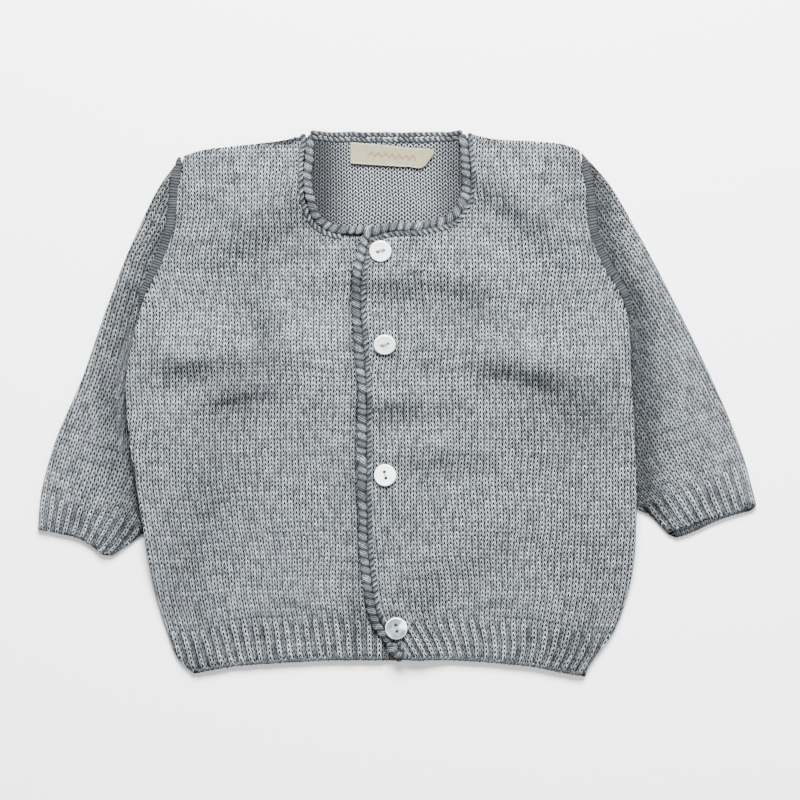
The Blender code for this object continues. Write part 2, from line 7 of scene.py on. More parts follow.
import bmesh
import bpy
import numpy as np
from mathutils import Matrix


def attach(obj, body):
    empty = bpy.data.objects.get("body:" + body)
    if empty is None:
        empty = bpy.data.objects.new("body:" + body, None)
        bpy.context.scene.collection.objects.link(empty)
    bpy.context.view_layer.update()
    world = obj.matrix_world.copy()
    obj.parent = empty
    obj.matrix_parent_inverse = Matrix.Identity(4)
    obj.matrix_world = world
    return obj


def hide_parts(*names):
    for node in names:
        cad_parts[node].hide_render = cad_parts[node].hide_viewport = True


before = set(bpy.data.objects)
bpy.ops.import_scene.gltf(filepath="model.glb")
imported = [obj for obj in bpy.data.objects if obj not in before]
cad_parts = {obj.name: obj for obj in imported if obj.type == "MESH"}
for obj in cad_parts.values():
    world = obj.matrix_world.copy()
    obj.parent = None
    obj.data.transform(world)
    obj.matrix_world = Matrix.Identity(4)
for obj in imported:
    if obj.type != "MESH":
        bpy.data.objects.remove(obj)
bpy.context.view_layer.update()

# Back: one panel of plain knit in a grey melange yarn, worked from the neck down to a ribbed hem. It lies on
# its knit side, so its purl side shows inside the neck. Its sides lie on the tucked parts of the sleeves.

MM = 0.001
CLOTH = 2.0  # one knitted wall
GAP = 0.3
ROLL = 1.6  # radius of a rounded edge
NECK_LINE = 88.0  # height of the fronts' neck edge
RIB_BAND = 22.0
RIB_RISE = 0.95  # how far a hem rib's wales stand up or sink

# The body's side edges by height, its hem, and the back's shoulders and neck
SIDES = {
    "y": (-142, -134, -122, -98, -60, -20, 16, 40, 57, 72, 90, 110, 129),
    "right": (
        -104.5, -113.2, -118.5, -125.9, -132.8, -139, -140.5, -135.4, -130.5, -123.9, -117, -114.6, -111.2,
    ),
    "left": (97.3, 102, 111, 120.6, 124.5, 123.7, 121.7, 120.6, 116.6, 107.8, 101.2, 99, 95.2),
}
HEM = {
    "x": (-106, -86, -66, -48, 0, 30, 52, 74, 87, 98),
    "y": (-141, -137.2, -135.6, -134.4, -134, -134, -135.4, -138, -140.6, -142.5),
}
HEM_MIDDLE = -134.0
BACK_TOP = {
    "x": (-111.2, -106, -86, -57, -49, -43, -36, 0, 26, 33, 40, 47, 75, 89, 95.2),
    "y": (128.4, 130.4, 133.6, 137, 138.4, 137.4, 136.2, 136, 136.4, 137.4, 138.8, 137.8, 136, 134, 131.4),
}
# Depth of each sleeve's hidden fold inside the body's side edge, from underarm (0) to cuff (1)
TUCK = {
    "fold": (0, 0.09, 0.22, 0.32, 0.43, 0.56, 0.7, 0.85, 1),
    "depth": (-0.5, 2.5, 9.5, 28, 42, 48, 42, 32, 19),
}
UNDERARM = {"right": 57.0, "left": 52.0}
FOLD_END = {"right": -59.0, "left": -43.0}
CUFF_AT_BODY = {"right": -69.0, "left": -57.0}
LIFT = 5.2  # the body's rise over a tucked sleeve
LIFT_SLOPE = 28.0  # over how much of the cloth it rises


def through(at, known, values):
    """A smooth curve through known values: cubic pieces that share their slopes."""
    known, values = np.asarray(known, float), np.asarray(values, float)
    slopes = np.gradient(values, known)
    cell = np.clip(np.searchsorted(known, at) - 1, 0, len(known) - 2)
    step = known[cell + 1] - known[cell]
    t = np.clip((at - known[cell]) / step, 0, 1)
    start = (1 + 2 * t) * (1 - t) ** 2 * values[cell] + t * (1 - t) ** 2 * step * slopes[cell]
    end = (3 - 2 * t) * t**2 * values[cell + 1] - (1 - t) * t**2 * step * slopes[cell + 1]
    return start + end


def ease(value, low, high):
    """0 at low, 1 at high and a smooth S between."""
    t = np.clip((value - low) / (high - low), 0, 1)
    return t * t * (3 - 2 * t)


def blend(a, b, share):
    """The first at share 0, the second at 1, and evenly between."""
    return a + (b - a) * share


def side_x(y, side):
    """The body's side edge at this height."""
    return through(y, SIDES["y"], SIDES[side])


def inward(side):
    """The direction along X from a side towards the body's middle."""
    return 1 if side == "right" else -1


def hem_y(x):
    """The height of the hem's edge at this place across it."""
    return through(x, HEM["x"], HEM["y"])


def from_sides(x, y):
    """The distance from the nearer side edge, below 0 outside the body."""
    return np.minimum(x - side_x(y, "right"), side_x(y, "left") - x)


def fold_point(fold, side):
    """A sleeve's hidden fold: the body's side edge moved in by the depth of the tuck."""
    y = blend(UNDERARM[side], FOLD_END[side], fold)
    return side_x(y, side) + inward(side) * through(fold, TUCK["fold"], TUCK["depth"]), y


def lift(x, y):
    """The body's rise: full beyond each sleeve's fold, easing to none inside it, above and below the sleeve."""
    total = 0
    for side in ("right", "left"):
        fold = np.clip((y - UNDERARM[side]) / (FOLD_END[side] - UNDERARM[side]), 0, 1)
        inside = inward(side) * (x - fold_point(fold, side)[0])
        over = 1 - ease(inside, 4, 4 + LIFT_SLOPE)
        below = ease(y, UNDERARM[side] + 12, UNDERARM[side] - 8)
        above = ease(y, CUFF_AT_BODY[side] - 48, CUFF_AT_BODY[side] - 1)
        total = total + LIFT * over * below * above
    return total


def turned_in(distance):
    """A quarter circle: how far a surface has dropped at this distance from its edge."""
    t = np.clip(distance / ROLL, 0, 1)
    return ROLL * (1 - np.sqrt(1 - (1 - t) ** 2))


YARN = 0.48  # radius of the yarn
COURSE = 2.29
# Each side of the cloth: a stitch's width and height; how far a course rises from its feet to its crowns, in
# courses; how much of that is a parabola, with pointed feet, and not a cosine; how much the yarn swells in the
# legs; how strongly its melange shows; how far its light and dark lie apart, and how dark it is on the whole
KNIT = {"wale": 3.13, "course": COURSE, "rise": 1.68, "pointed": 0.1, "swell": -0.42}
PURL = {"wale": 2.9, "course": 1.97, "rise": 0.77, "pointed": 0.0, "swell": 0.2}
KNIT.update({"melange": 0.5, "contrast": 0.82, "dark": 1.12})
PURL.update({"melange": 0.22, "contrast": 0.45, "dark": 1.27})


def wave(stitch, w):
    """Each course runs up to a crown in the middle of each wale and down to its feet on both sides: a parabola
    mixed with a cosine."""
    u = np.abs(w % 1 - 0.5)
    return stitch["rise"] * blend(0.5 + 0.5 * np.cos(2 * np.pi * u), 1 - 4 * u * u, stitch["pointed"])


def relief(stitch, w, c):
    """The relief of a wave of yarn, 0 to 1: a round strand along the middle of each course, a little higher in
    the legs, which are drawn thinner or thicker than its crowns."""
    slope = (wave(stitch, w + 0.01) - wave(stitch, w - 0.01)) / 0.02
    off = np.abs((c - wave(stitch, w)) % 1 - 0.5) / np.hypot(slope / stitch["wale"], 1 / stitch["course"])
    legs = 0.5 - 0.5 * np.cos(4 * np.pi * w)
    radius = 1.2 * YARN * (1 + stitch["swell"] * legs)
    return np.sqrt(np.clip(1 - (off / radius) ** 2, 0, 1)) * (0.92 + 0.08 * legs)


STRAY = np.random.default_rng(11).normal(size=(2, 97, 89))  # each stitch's own shift along wale and course


def strayed(w, c):
    """Stitches a little out of place: each by itself, and slowly over seven or eight of them."""
    rows, columns = STRAY.shape[1:]

    def between(table, row, column):
        """A table's value between its rows and columns, evenly; beyond its end it starts again."""
        i, j = np.floor(row).astype(int), np.floor(column).astype(int)
        here, next_one = j % columns, (j + 1) % columns
        near, far = [blend(table[k % rows, here], table[k % rows, next_one], column - j) for k in (i, i + 1)]
        return blend(near, far, row - i)

    sideways = 0.04 * between(STRAY[0], c, w) + 0.22 * between(STRAY[0], c / 8 + 40, w / 7 + 40)
    upwards = 0.06 * between(STRAY[1], c, w) + 0.25 * between(STRAY[1], c / 8 + 40, w / 7 + 40)
    return w + sideways, c + upwards


def in_chunks(work, points, size=3000):
    """The same work done on a few thousand points at a time, to spare memory."""
    parts = [work(points[i : i + size]) for i in range(0, len(points), size)]
    return [np.concatenate(part) for part in zip(*parts)]


def is_inside(points, outline):
    """Whether each point lies in the outline: a line to its right crosses the edges an odd number of times."""
    start, end = outline, np.roll(outline, -1, axis=0)
    rise = end[:, 1] - start[:, 1]
    rise = np.where(rise == 0, 1e-9, rise)

    def work(some):
        """For some of the points: is the count of crossings odd?"""
        x, y = some[:, :1], some[:, 1:]
        spans = (start[:, 1] > y) != (end[:, 1] > y)
        crossing = start[:, 0] + (y - start[:, 1]) * (end[:, 0] - start[:, 0]) / rise
        return [(spans & (x < crossing)).sum(axis=1) % 2 == 1]

    return in_chunks(work, points)[0]


def to_outline(points, outline):
    """The nearest place on the outline to each point, how far away that is, and at what share of its length."""
    run = np.roll(outline, -1, axis=0) - outline
    square = (run**2).sum(axis=1)
    share = np.cumsum(np.append(0, np.sqrt(square))) / np.sqrt(square).sum()

    def work(some):
        """For some of the points: the nearest of the feet of their plumb lines on the edges."""
        offset = some[:, None] - outline
        t = np.clip((offset * run).sum(axis=2) / square, 0, 1)
        away = offset - t[..., None] * run
        distance = np.hypot(away[..., 0], away[..., 1])
        best = distance.argmin(axis=1)
        each = np.arange(len(some))
        reached = share[best] + t[each, best] * (share[best + 1] - share[best])
        return [some - away[each, best], distance[each, best], reached]

    return in_chunks(work, points)


def spread_from(start, allowed):
    """The cells that can be reached from the first ones through allowed cells, side by side."""
    reached = start & allowed
    while True:
        wider = reached.copy()
        wider[1:] |= reached[:-1]
        wider[:-1] |= reached[1:]
        wider[:, 1:] |= reached[:, :-1]
        wider[:, :-1] |= reached[:, 1:]
        wider &= allowed
        if (wider == reached).all():
            return reached
        reached = wider


def cells(grid):
    """The four-sided faces between the neighbours in a grid of numbered points."""
    return np.stack([grid[:-1, :-1], grid[:-1, 1:], grid[1:, 1:], grid[1:, :-1]], axis=-1)


def stitch_sheet(across, along, place, outline, stitch=None):
    """The part of a lattice of stitches that lies in an outline, with its border moved onto the outline.

    With a stitch its lines follow the yarn's wave and stray a little. Gives the points in plan, their wale and
    course, their distance from the outline, the share of its length at which it is nearest, and the faces.
    """
    w, c = np.meshgrid(across, along)
    if stitch:
        c = c + wave(stitch, w)
    plan = np.stack(place(*strayed(w, c)) if stitch else place(w, c), axis=-1)
    middle = (plan[:-1, :-1] + plan[1:, :-1] + plan[:-1, 1:] + plan[1:, 1:]) / 4
    keep = is_inside(middle.reshape(-1, 2), outline).reshape(middle.shape[:2])
    centre = np.hypot(*(middle - outline.mean(axis=0)).transpose(2, 0, 1))
    keep = spread_from(centre == centre[keep].min(), keep)
    rim = np.ones(keep.shape, bool)
    rim[1:-1, 1:-1] = False
    keep = ~spread_from(rim, ~keep)
    for _ in range(2):  # no two faces may meet at a corner alone
        rising = keep[:-1, :-1] & keep[1:, 1:] & ~keep[1:, :-1] & ~keep[:-1, 1:]
        falling = keep[1:, :-1] & keep[:-1, 1:] & ~keep[:-1, :-1] & ~keep[1:, 1:]
        keep[:-1, 1:] |= rising
        keep[:-1, :-1] |= falling
    faces = cells(np.arange(w.size).reshape(w.shape))[keep]
    used, faces = np.unique(faces, return_inverse=True)
    faces = faces.reshape(-1, 4)
    points = plan.reshape(-1, 2)[used]
    near, distance, share = to_outline(points, outline)
    border = np.bincount(faces.ravel()) < 4
    points[border] = near[border]
    distance[border] = 0
    return points, np.stack([w.ravel()[used], c.ravel()[used]], axis=1), distance, share, faces


def border_of(faces, share):
    """The border points of some faces in order round the outline, and the share at which each comes."""
    start, end = faces.ravel(), np.roll(faces, -1, axis=1).ravel()
    many = faces.max() + 1
    alone = ~np.isin(start * many + end, end * many + start)
    ahead = np.zeros(many, int)
    ahead[start[alone]] = end[alone]
    order = start[alone][:1]
    while len(order) < alone.sum():  # the first 1, 2, 4, 8... points and as many again
        order = np.concatenate([order, ahead[order]])
        ahead = ahead[ahead]
    order = order[: alone.sum()]
    step = (np.diff(share[order]) + 0.5) % 1 - 0.5
    if step.sum() < 0:
        order, step = order[::-1], -step[::-1]
    at = np.maximum.accumulate(share[order[0]] + np.append(0, np.cumsum(step)))
    at = np.minimum(at, at[0] + 0.999999)
    first = np.searchsorted(at, np.ceil(at[0]))
    return np.roll(order, -first), np.roll(at % 1, -first)


def joined(first, first_at, second, second_at):
    """The triangles between two rings of points: each point takes its turn at its share of the way round."""
    turn = np.argsort(np.concatenate([first_at, second_at]), kind="stable")
    of_first = turn < len(first)
    i, j = np.cumsum(of_first) - 1, np.cumsum(~of_first) - 1
    a, b = first[i - of_first], second[j - ~of_first]
    return np.stack([a, np.where(of_first, first[i], second[j]), b], axis=1)


def new_piece(name, points, faces, values, finish):
    """A mesh from arrays, with one vector at each point that its finish reads as "stitch"."""
    mesh = bpy.data.meshes.new(name)
    mesh.from_pydata(points * MM, [], faces)
    mesh.attributes.new("stitch", "FLOAT_VECTOR", "POINT").data.foreach_set("vector", values.ravel())
    mesh.materials.append(finish)
    piece = bpy.data.objects.new(name, mesh)
    bpy.context.scene.collection.objects.link(piece)
    return piece


def close(piece, open_rims=False):
    """Join its two open rims if it has them, turn the faces outwards and shade them smooth."""
    bm = bmesh.new()
    bm.from_mesh(piece.data)
    if open_rims:
        bmesh.ops.bridge_loops(bm, edges=[edge for edge in bm.edges if len(edge.link_faces) < 2])
    bmesh.ops.triangulate(bm, faces=[face for face in bm.faces if len(face.verts) > 4])
    bmesh.ops.recalc_face_normals(bm, faces=bm.faces)
    bm.to_mesh(piece.data)
    bm.free()
    piece.data.shade_smooth()


def settle(piece, slot, node=None, **sheet):
    """A piece lies still on the one body; it may stand for a solid, and a panel's flat size is not used."""
    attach(piece, "root")
    if node:
        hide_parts(node)


def knit_wall(name, outline, fine, coarse, place, top, low, finish, stitch, low_outline=None, mouth=None):
    """A closed wall of cloth: a top of fine stitches and a coarser underside, joined along their outline.

    top and low give the height and the shade from plan and distance from the edge, top from wale and course
    too. The rim runs from one to the other by way of the outline at half their height, moved in by the mouth.
    """
    low_outline = outline if low_outline is None else low_outline
    plan, lattice, distance, share, faces = stitch_sheet(*fine, place, outline, stitch)
    z, shade = top(*plan.T, *lattice.T, distance)
    values = np.column_stack([lattice, shade])
    under, under_lattice, under_distance, under_share, under_faces = stitch_sheet(*coarse, place, low_outline)
    under_z, shade = low(*under.T, under_distance)
    under_values = np.column_stack([under_lattice, shade + 0 * under_z])
    border, border_at = border_of(faces, share)
    under_border, under_at = border_of(under_faces, under_share)
    ring, depth = (outline, 0) if mouth is None else mouth(outline)
    steps_along = np.hypot(*np.diff(outline, axis=0, append=outline[:1]).T)
    ring_at = (np.cumsum(steps_along) - steps_along) / steps_along.sum()
    near = border[np.minimum(np.searchsorted(border_at, ring_at), len(border) - 1)]
    below = under_border[np.minimum(np.searchsorted(under_at, ring_at), len(under_border) - 1)]
    # The rim takes half the shade beside it: painted shade on the panels' edges and deep inside a cuff's lining
    ring_values = values[near] * (1, 1, 0.5)
    ring_values[:, 1] += depth / COURSE
    rim_z = (z[near] + under_z[below]) / 2
    points = [np.column_stack([plan, z]), np.column_stack([ring, rim_z]), np.column_stack([under, under_z])]
    middle = len(plan) + np.arange(len(ring))
    under_start = len(plan) + len(ring)
    faces = [
        faces,
        joined(border, border_at, middle, ring_at),
        joined(middle, ring_at, under_border + under_start, under_at),
        under_faces[:, ::-1] + under_start,
    ]
    all_values = np.concatenate([values, ring_values, under_values])
    faces = [face for some in faces for face in some.tolist()]
    piece = new_piece(name, np.concatenate(points), faces, all_values, finish)
    close(piece)
    return piece


class Value:
    """A number in a finish that differs from place to place: arithmetic on it adds the Math nodes."""

    def __init__(self, finish, socket):
        self.finish, self.socket = finish, socket

    def math(self, operation, *others):
        """The result of a Math node on this number and others."""
        return self.finish.add("ShaderNodeMath", {"operation": operation}, (self, *others))

    def __add__(self, other):
        return self.math("ADD", other)

    def __sub__(self, other):
        return self.math("SUBTRACT", other)

    def __rsub__(self, other):
        return self.math("MULTIPLY_ADD", -1.0, other)

    def __mul__(self, other):
        return self.math("MULTIPLY", other)

    def __truediv__(self, other):
        return self.math("DIVIDE", other)

    def __pow__(self, other):
        return self.math("POWER", other)

    __radd__, __rmul__ = __add__, __mul__

    def part(self):
        """The part of the number past its whole one."""
        return self.math("FRACT")

    def ease(self, low, high, start=0.0, end=1.0):
        """A smooth S from one value to another, while this one goes from low to high."""
        settings = {"interpolation_type": "SMOOTHSTEP"}
        return self.finish.add("ShaderNodeMapRange", settings, (self, low, high, start, end))


class Finish:
    """A material: its one shader, and the nodes that feed it."""

    def __init__(self, name, colour, roughness, **more):
        self.material = bpy.data.materials.new(name)
        self.material.use_nodes = True
        self.material.diffuse_color = (*colour, 1)
        self.nodes, self.links = self.material.node_tree.nodes, self.material.node_tree.links
        self.shader = self.nodes["Principled BSDF"]
        self.set({"Base Color": (*colour, 1), "Roughness": roughness, **more})

    def set(self, values):
        """Values or links of the shader's own sockets."""
        self.fill(self.shader, values)

    def fill(self, node, values):
        """Set or link a node's sockets, by their names or in their order."""
        named = values.items() if isinstance(values, dict) else enumerate(values)
        for key, value in named:
            if isinstance(value, Value):
                self.links.new(value.socket, node.inputs[key])
            elif value is not None:
                node.inputs[key].default_value = value

    def add(self, kind, settings=None, values=(), output=0):
        """A node of this type, with its settings made first, and the values or links of its sockets."""
        node = self.nodes.new(kind)
        for key, value in (settings or {}).items():
            setattr(node, key, value)
        self.fill(node, values)
        return Value(self, node.outputs[output])

    def mix(self, share, first, second):
        """The colour between two others."""
        first, second = [(*colour, 1) if isinstance(colour, tuple) else colour for colour in (first, second)]
        return self.add("ShaderNodeMix", {"data_type": "RGBA"}, {0: share, 6: first, 7: second}, 2)

    def read(self, attribute):
        """The three parts of a vector that the piece's points carry."""
        vector = self.add("ShaderNodeAttribute", {"attribute_name": attribute}, output="Vector")
        return [self.add("ShaderNodeSeparateXYZ", {}, (vector,), axis) for axis in range(3)]

    def vector(self, *parts):
        """Three numbers as one place."""
        return self.add("ShaderNodeCombineXYZ", {}, parts)

    def noise(self, at, scale, detail=2.0, roughness=0.5):
        """Soft clouds, about 0.5, at a place."""
        values = {"Vector": at, "Scale": scale, "Detail": detail, "Roughness": roughness}
        return self.add("ShaderNodeTexNoise", {}, values)

    def bump(self, height, distance):
        """The normal of a surface with this relief, whose 1 is this far up."""
        return self.add("ShaderNodeBump", {}, {"Distance": distance, "Height": height})


# The yarn's greys: its middle one, the light one for painted light on the strands' round tops, and the one in
# the deepest painted shade
GREY = (0.058, 0.065, 0.072)
GREY_LIGHT = (0.765, 0.83, 0.89)
GREY_SHADED = (0.005, 0.0055, 0.006)
WOOL = {"Specular IOR Level": 0.12}  # hardly any gloss
UNDER_CROWN_SHADE = 1.75  # how much painted shade darkens the hollow under a crown
BETWEEN_LEGS_SHADE = 0.46  # and the gap between two wales' legs
MIDDLE_LIGHT = 0.76  # the lightness from which the contrast spreads


def greys(finish, light, full):
    """The yarn's colour at this painted lightness: shaded grey at 0, middle grey halfway, light grey at full."""
    low = finish.mix(light.ease(0.0, 0.5), GREY_SHADED, GREY)
    return finish.mix(light.ease(0.4, full), low, GREY_LIGHT)


def knit_finish(name, stitch):
    """Grey melange yarn in waves of the same shape as the relief, with painted light on its strands and painted
    shade between them, most of all under the crowns; each leg of its own lightness, mottled along the courses,
    with a soft matt surface; the points' shade adds painted light above 1 and painted shade below it."""
    finish = Finish(name, GREY, 0.92, **WOOL)
    w, c, shade = finish.read("stitch")
    rise, pointed = stitch["rise"], stitch["pointed"]
    u = (w.part() - 0.5).math("ABSOLUTE")
    round_part = (u * (2 * np.pi)).math("COSINE") * 0.5 + 0.5
    risen = (round_part * (1 - pointed) + (1 - u * u * 4) * pointed) * rise
    slope = (u * (2 * np.pi)).math("SINE") * (np.pi * (1 - pointed)) + u * (8 * pointed)
    slope = slope * (rise / stitch["wale"])
    steep = (slope * slope + 1 / stitch["course"] ** 2).math("SQRT")
    height = c - risen
    off = (height.part() - 0.5).math("ABSOLUTE") / steep
    legs = (u * (4 * np.pi)).math("COSINE") * -0.5 + 0.5
    radius = (legs * stitch["swell"] + 1) * (1.08 * YARN)
    yarn = (1 - (off / radius) ** 2.0).math("MAXIMUM", 0.0)
    leg = finish.vector((w * 2).math("FLOOR"), height.math("FLOOR"), 0.0)
    each = finish.add("ShaderNodeTexWhiteNoise", {"noise_dimensions": "3D"}, {"Vector": leg})
    streak = finish.noise(finish.vector(w * 0.16, c * 1.1, 0.0), 1.0, 3.0, 0.6)
    fibre = finish.noise(finish.vector(w * 3.2, c * 1.4, 3.0), 2.2, 3.0, 0.6)
    across = 0.25 - (u - 0.25).math("ABSOLUTE")
    up = 0.5 - (height.part() - 0.5).math("ABSOLUTE")
    hollow = (1 - (across * 4.0) ** 2.0 - (up * 2.7) ** 2.0).math("MAXIMUM", 0.0)
    column = (1 - across * 4.4).math("MAXIMUM", 0.0)
    strand = yarn * (2.1 - legs * 1.0) + legs * 0.66
    mottle = (streak - 0.5) * stitch["melange"] + (each - 0.5) * (0.56 * stitch["melange"]) + fibre * 0.3
    light = strand - hollow * (UNDER_CROWN_SHADE - u * 0.6) - column * (u * 0.5 + BETWEEN_LEGS_SHADE)
    light = light + mottle - stitch["dark"]
    light = (light - MIDDLE_LIGHT) * stitch["contrast"] + MIDDLE_LIGHT
    # A shade above 1 is painted light, and below 1 painted shade, mixed towards the shaded grey
    light = light * shade.math("MAXIMUM", 1.0)
    colour = greys(finish, light, 1.12)
    colour = finish.mix(1 - shade, colour, GREY_SHADED)
    finish.set({"Base Color": colour, "Normal": finish.bump(yarn + fibre * 0.25, 0.45 * MM)})
    return finish.material


knit = knit_finish("knit", KNIT)
purl = knit_finish("purl", PURL)

WALES = (0.0, 0.24, 0.5, 0.76)  # places of the lattice's lines across a stitch, from one foot to the next
COURSES = (0.0, 0.27, 0.5, 0.73)  # and from one strand's lower side to the next one's


def steps(first, last, shares):
    """The lattice's lines from one whole stitch to another, at these shares of each."""
    return (np.arange(first, last)[:, None] + np.array(shares)).ravel()


def rib_share(up):
    """1 in the ribbed band above a cast-on edge, 0 above it."""
    return 1 - ease(up, RIB_BAND - 3, RIB_BAND + 1)


def ribs(w, c):
    """1x1 ribbing from the cast-on edge up: broad knit wales up and narrow purl wales down."""
    return (2 * ease(np.cos(np.pi * (w - 0.5)), -0.9, 0.5) - 1) * rib_share(c * COURSE)


BACK_WALES = 90
PURL_SUNK = 0.35  # how far the purl relief sinks into the wall
CHEST = -42.0  # below this height the wales draw together towards the hem


def back_place(w, c):
    """Wales even across the panel's width, courses level but for the curve of the hem, which fades upwards."""
    y = HEM_MIDDLE + c * PURL["course"]
    level = np.minimum(y, CHEST)
    right, left = side_x(level, "right"), side_x(level, "left")
    x = right + (left - right) * w / BACK_WALES
    fade = np.clip(1 - (y - HEM_MIDDLE) / (NECK_LINE - HEM_MIDDLE), 0, 1) ** 3
    return x, y + (hem_y(x) - HEM_MIDDLE) * fade


def side_line(side, start, end, count):
    """Points along a side edge, from one height to another."""
    y = np.linspace(start, end, count)
    return np.column_stack([side_x(y, side), y])


def edge_line(edge, start, end, count):
    """Points along the smooth curve of an edge's table, from one place across to another."""
    x = np.linspace(start, end, count)
    return np.column_stack([x, through(x, edge["x"], edge["y"])])


def back_outline():
    """Down the right side, along the hem, up the left side and back along the shoulders and the neck."""
    right = side_line("right", BACK_TOP["y"][0], HEM["y"][0], 70)
    hem = edge_line(HEM, right[-1, 0], HEM["x"][-1], 60)[1:]
    left = side_line("left", HEM["y"][-1], BACK_TOP["y"][-1], 70)[1:]
    top = edge_line(BACK_TOP, BACK_TOP["x"][-1], BACK_TOP["x"][0], 80)[1:-1]
    return np.concatenate([right, hem, left, top])


def neck_lie(x, y):
    """How far the back's neck stands off the table: most beside the right edging, least beside the left one."""
    rise = 2.3 + 1.2 * ease(x, -28, -45) - 2.3 * ease(x, 17, 32)
    return ease(y, 80, 100) * rise * ease(np.abs(x + 6), 70, 50)


def back_top(x, y, w, c, distance):
    """The purl relief on the risen cloth, darker at both sides of the neck, where the fronts shade it."""
    strands = relief(PURL, w, c) * YARN * ease(distance, 0, 1.2)
    shade = 0.88 - 0.74 * ease(x, -18, -40) - 0.58 * ease(x, 12, 32)
    return lift(x, y) + neck_lie(x, y) + CLOTH - PURL_SUNK + strands, shade


def back_low(x, y, _):
    """The underside: risen as the top is, and turned up at the side edges."""
    return lift(x, y) + neck_lie(x, y) + turned_in(from_sides(x, y)), 1.0


# Every stitch has its own points inside the neck, where it shows, and the rest of the panel is coarser
neck_wales = np.concatenate([np.arange(-5, 31, 2), steps(31, 62, WALES), np.arange(62, 96, 2)])
neck_courses = np.concatenate([np.arange(-4, 110, 3), steps(110, 143, COURSES)])
back = knit_wall(
    "back_knit",
    back_outline(),
    (neck_wales, neck_courses),
    (np.arange(-4, 95, 2), np.arange(-4, 144, 2)),
    back_place,
    back_top,
    back_low,
    purl,
    PURL,
)
settle(back, "knit", "back", flat=(0.262, 0.275), rests_on=["sleeve_right", "sleeve_left"])

# Sleeves: knitted flat from the armhole down and closed to a tube, so each lies as two walls with a fold at its
# outer edge. The wales run along the outer edge; the cuff is 1x1 ribbing knitted in one with the sleeve.

# Sections along each sleeve: its outer edge, where the hidden fold is, and how far and where the top bends
SLEEVES = {
    "right": {
        "along": (0, 0.09, 0.22, 0.41, 0.6, 0.79, 0.89, 1),
        "x": (-111, -122.5, -135.5, -150.6, -163.6, -179.2, -185, -187),
        "y": (128.4, 113.4, 88.9, 51.5, 14, -23.4, -45, -66),
        "fold": (0, 0.07, 0.17, 0.33, 0.52, 0.74, 0.87, 1),
        "bend": (0, 0, 0, 0, 1, 5, 12, 17),
        "bend_at": (0.5, 0.5, 0.5, 0.5, 0.5, 0.5, 0.5, 0.51),
    },
    "left": {
        "along": (0, 0.106, 0.25, 0.458, 0.66, 0.8, 0.89, 1),
        "x": (95.4, 110.2, 125.3, 145.1, 163.3, 174.5, 181, 187.2),
        "y": (130.6, 113.9, 88.9, 51.5, 14, -11.7, -29.5, -53),
        "fold": (0, 0.07, 0.17, 0.35, 0.56, 0.74, 0.86, 1),
        "bend": (0, 0, 0, 1, 3, 8, 14, 19.5),
        "bend_at": (0.5, 0.5, 0.5, 0.5, 0.5, 0.5, 0.5, 0.5),
    },
}
# The lie of the wales: the cuff's opening from its outer corner, across and along the sleeve's axis; the
# axis' lean, from the body's; how fast the wales fan out above the cuff, and how fast they draw away from the
# outer edge above it; and how many there are
SLEEVE_WALES = {
    "right": {"opening": 39.6, "drop": 2.7, "lean": 21.5, "fan": 0.66, "drift": -0.04, "wales": 19},
    "left": {"opening": 46.4, "drop": 2.1, "lean": 24.8, "fan": 0.62, "drift": 0.08, "wales": 21},
}
FAN_LENGTH = 40.0  # over how much of the sleeve they fan out
SLEEVE_LENGTH = 205.0  # from shoulder to cuff
SLEEVE_SEAM = 0.9  # between a sleeve's head and the armhole's line
HEAD = 0.25  # share of a sleeve over which its sections turn from the armhole's line to their own
SLEEVE_AIR = 4.8  # how far the top wall bulges
SLEEVE_RIB_RISE = 0.75
SLEEVE_DIP = 1.3  # how far a sleeve sinks beside the body
BESIDE_BODY_SHADE = {"right": 0.56, "left": 0.74}  # and how much painted shade darkens it there, in the body's shadow
# The cuffs' edges, from the outer corner round the opening and its inner corner to the hidden fold; the left
# cuff's underside shows below its top
CUFFS = {
    "right": {
        "x": (-187, -179, -170.9, -164.8, -159.6, -153.6, -151.2, -148.4, -144.9, -136.2, -131.9, -114),
        "y": (-66, -67.4, -69, -70.8, -73.8, -78.4, -79.4, -79.4, -77.4, -71.2, -67.8, -59),
    },
    "left": {
        "x": (187.2, 185.4, 175.8, 166.1, 160.2, 150.5, 145.3, 141.6, 137.1, 131.9, 125.3, 105.3),
        "y": (-53, -54.2, -56.6, -59.7, -61.2, -64.5, -65.9, -66.6, -63.1, -58.6, -55.6, -43),
    },
    "left under": {
        "x": (187.2, 185.8, 178.4, 170.6, 163.1, 150.5, 144.8, 141.1, 137.1, 131.9, 125.3, 105.3),
        "y": (-53, -55, -57.7, -60.1, -63.1, -68.8, -70.2, -68.2, -64, -58.8, -55.6, -43),
    },
}
CUFF_LIP = 2.5  # how high the underside's edge stands at the cuff
CUFF_MOUTH = 118.0  # how far up the sleeve its lining goes
TUBE_MIDDLE = CLOTH + GAP / 2
KNIT_SUNK = 0.4  # how far the knit relief sinks into the wall
RIB_DRAW = 0.1  # how far the purl wales of a rib are drawn together, in wales
RIB_PAINTED_LIGHT = 0.12  # how much painted light brightens a rib's knit wales, which stand up
SLEEVE_RIB_SHADE = 0.4  # and how much painted shade darkens its purl ones, which sink between them


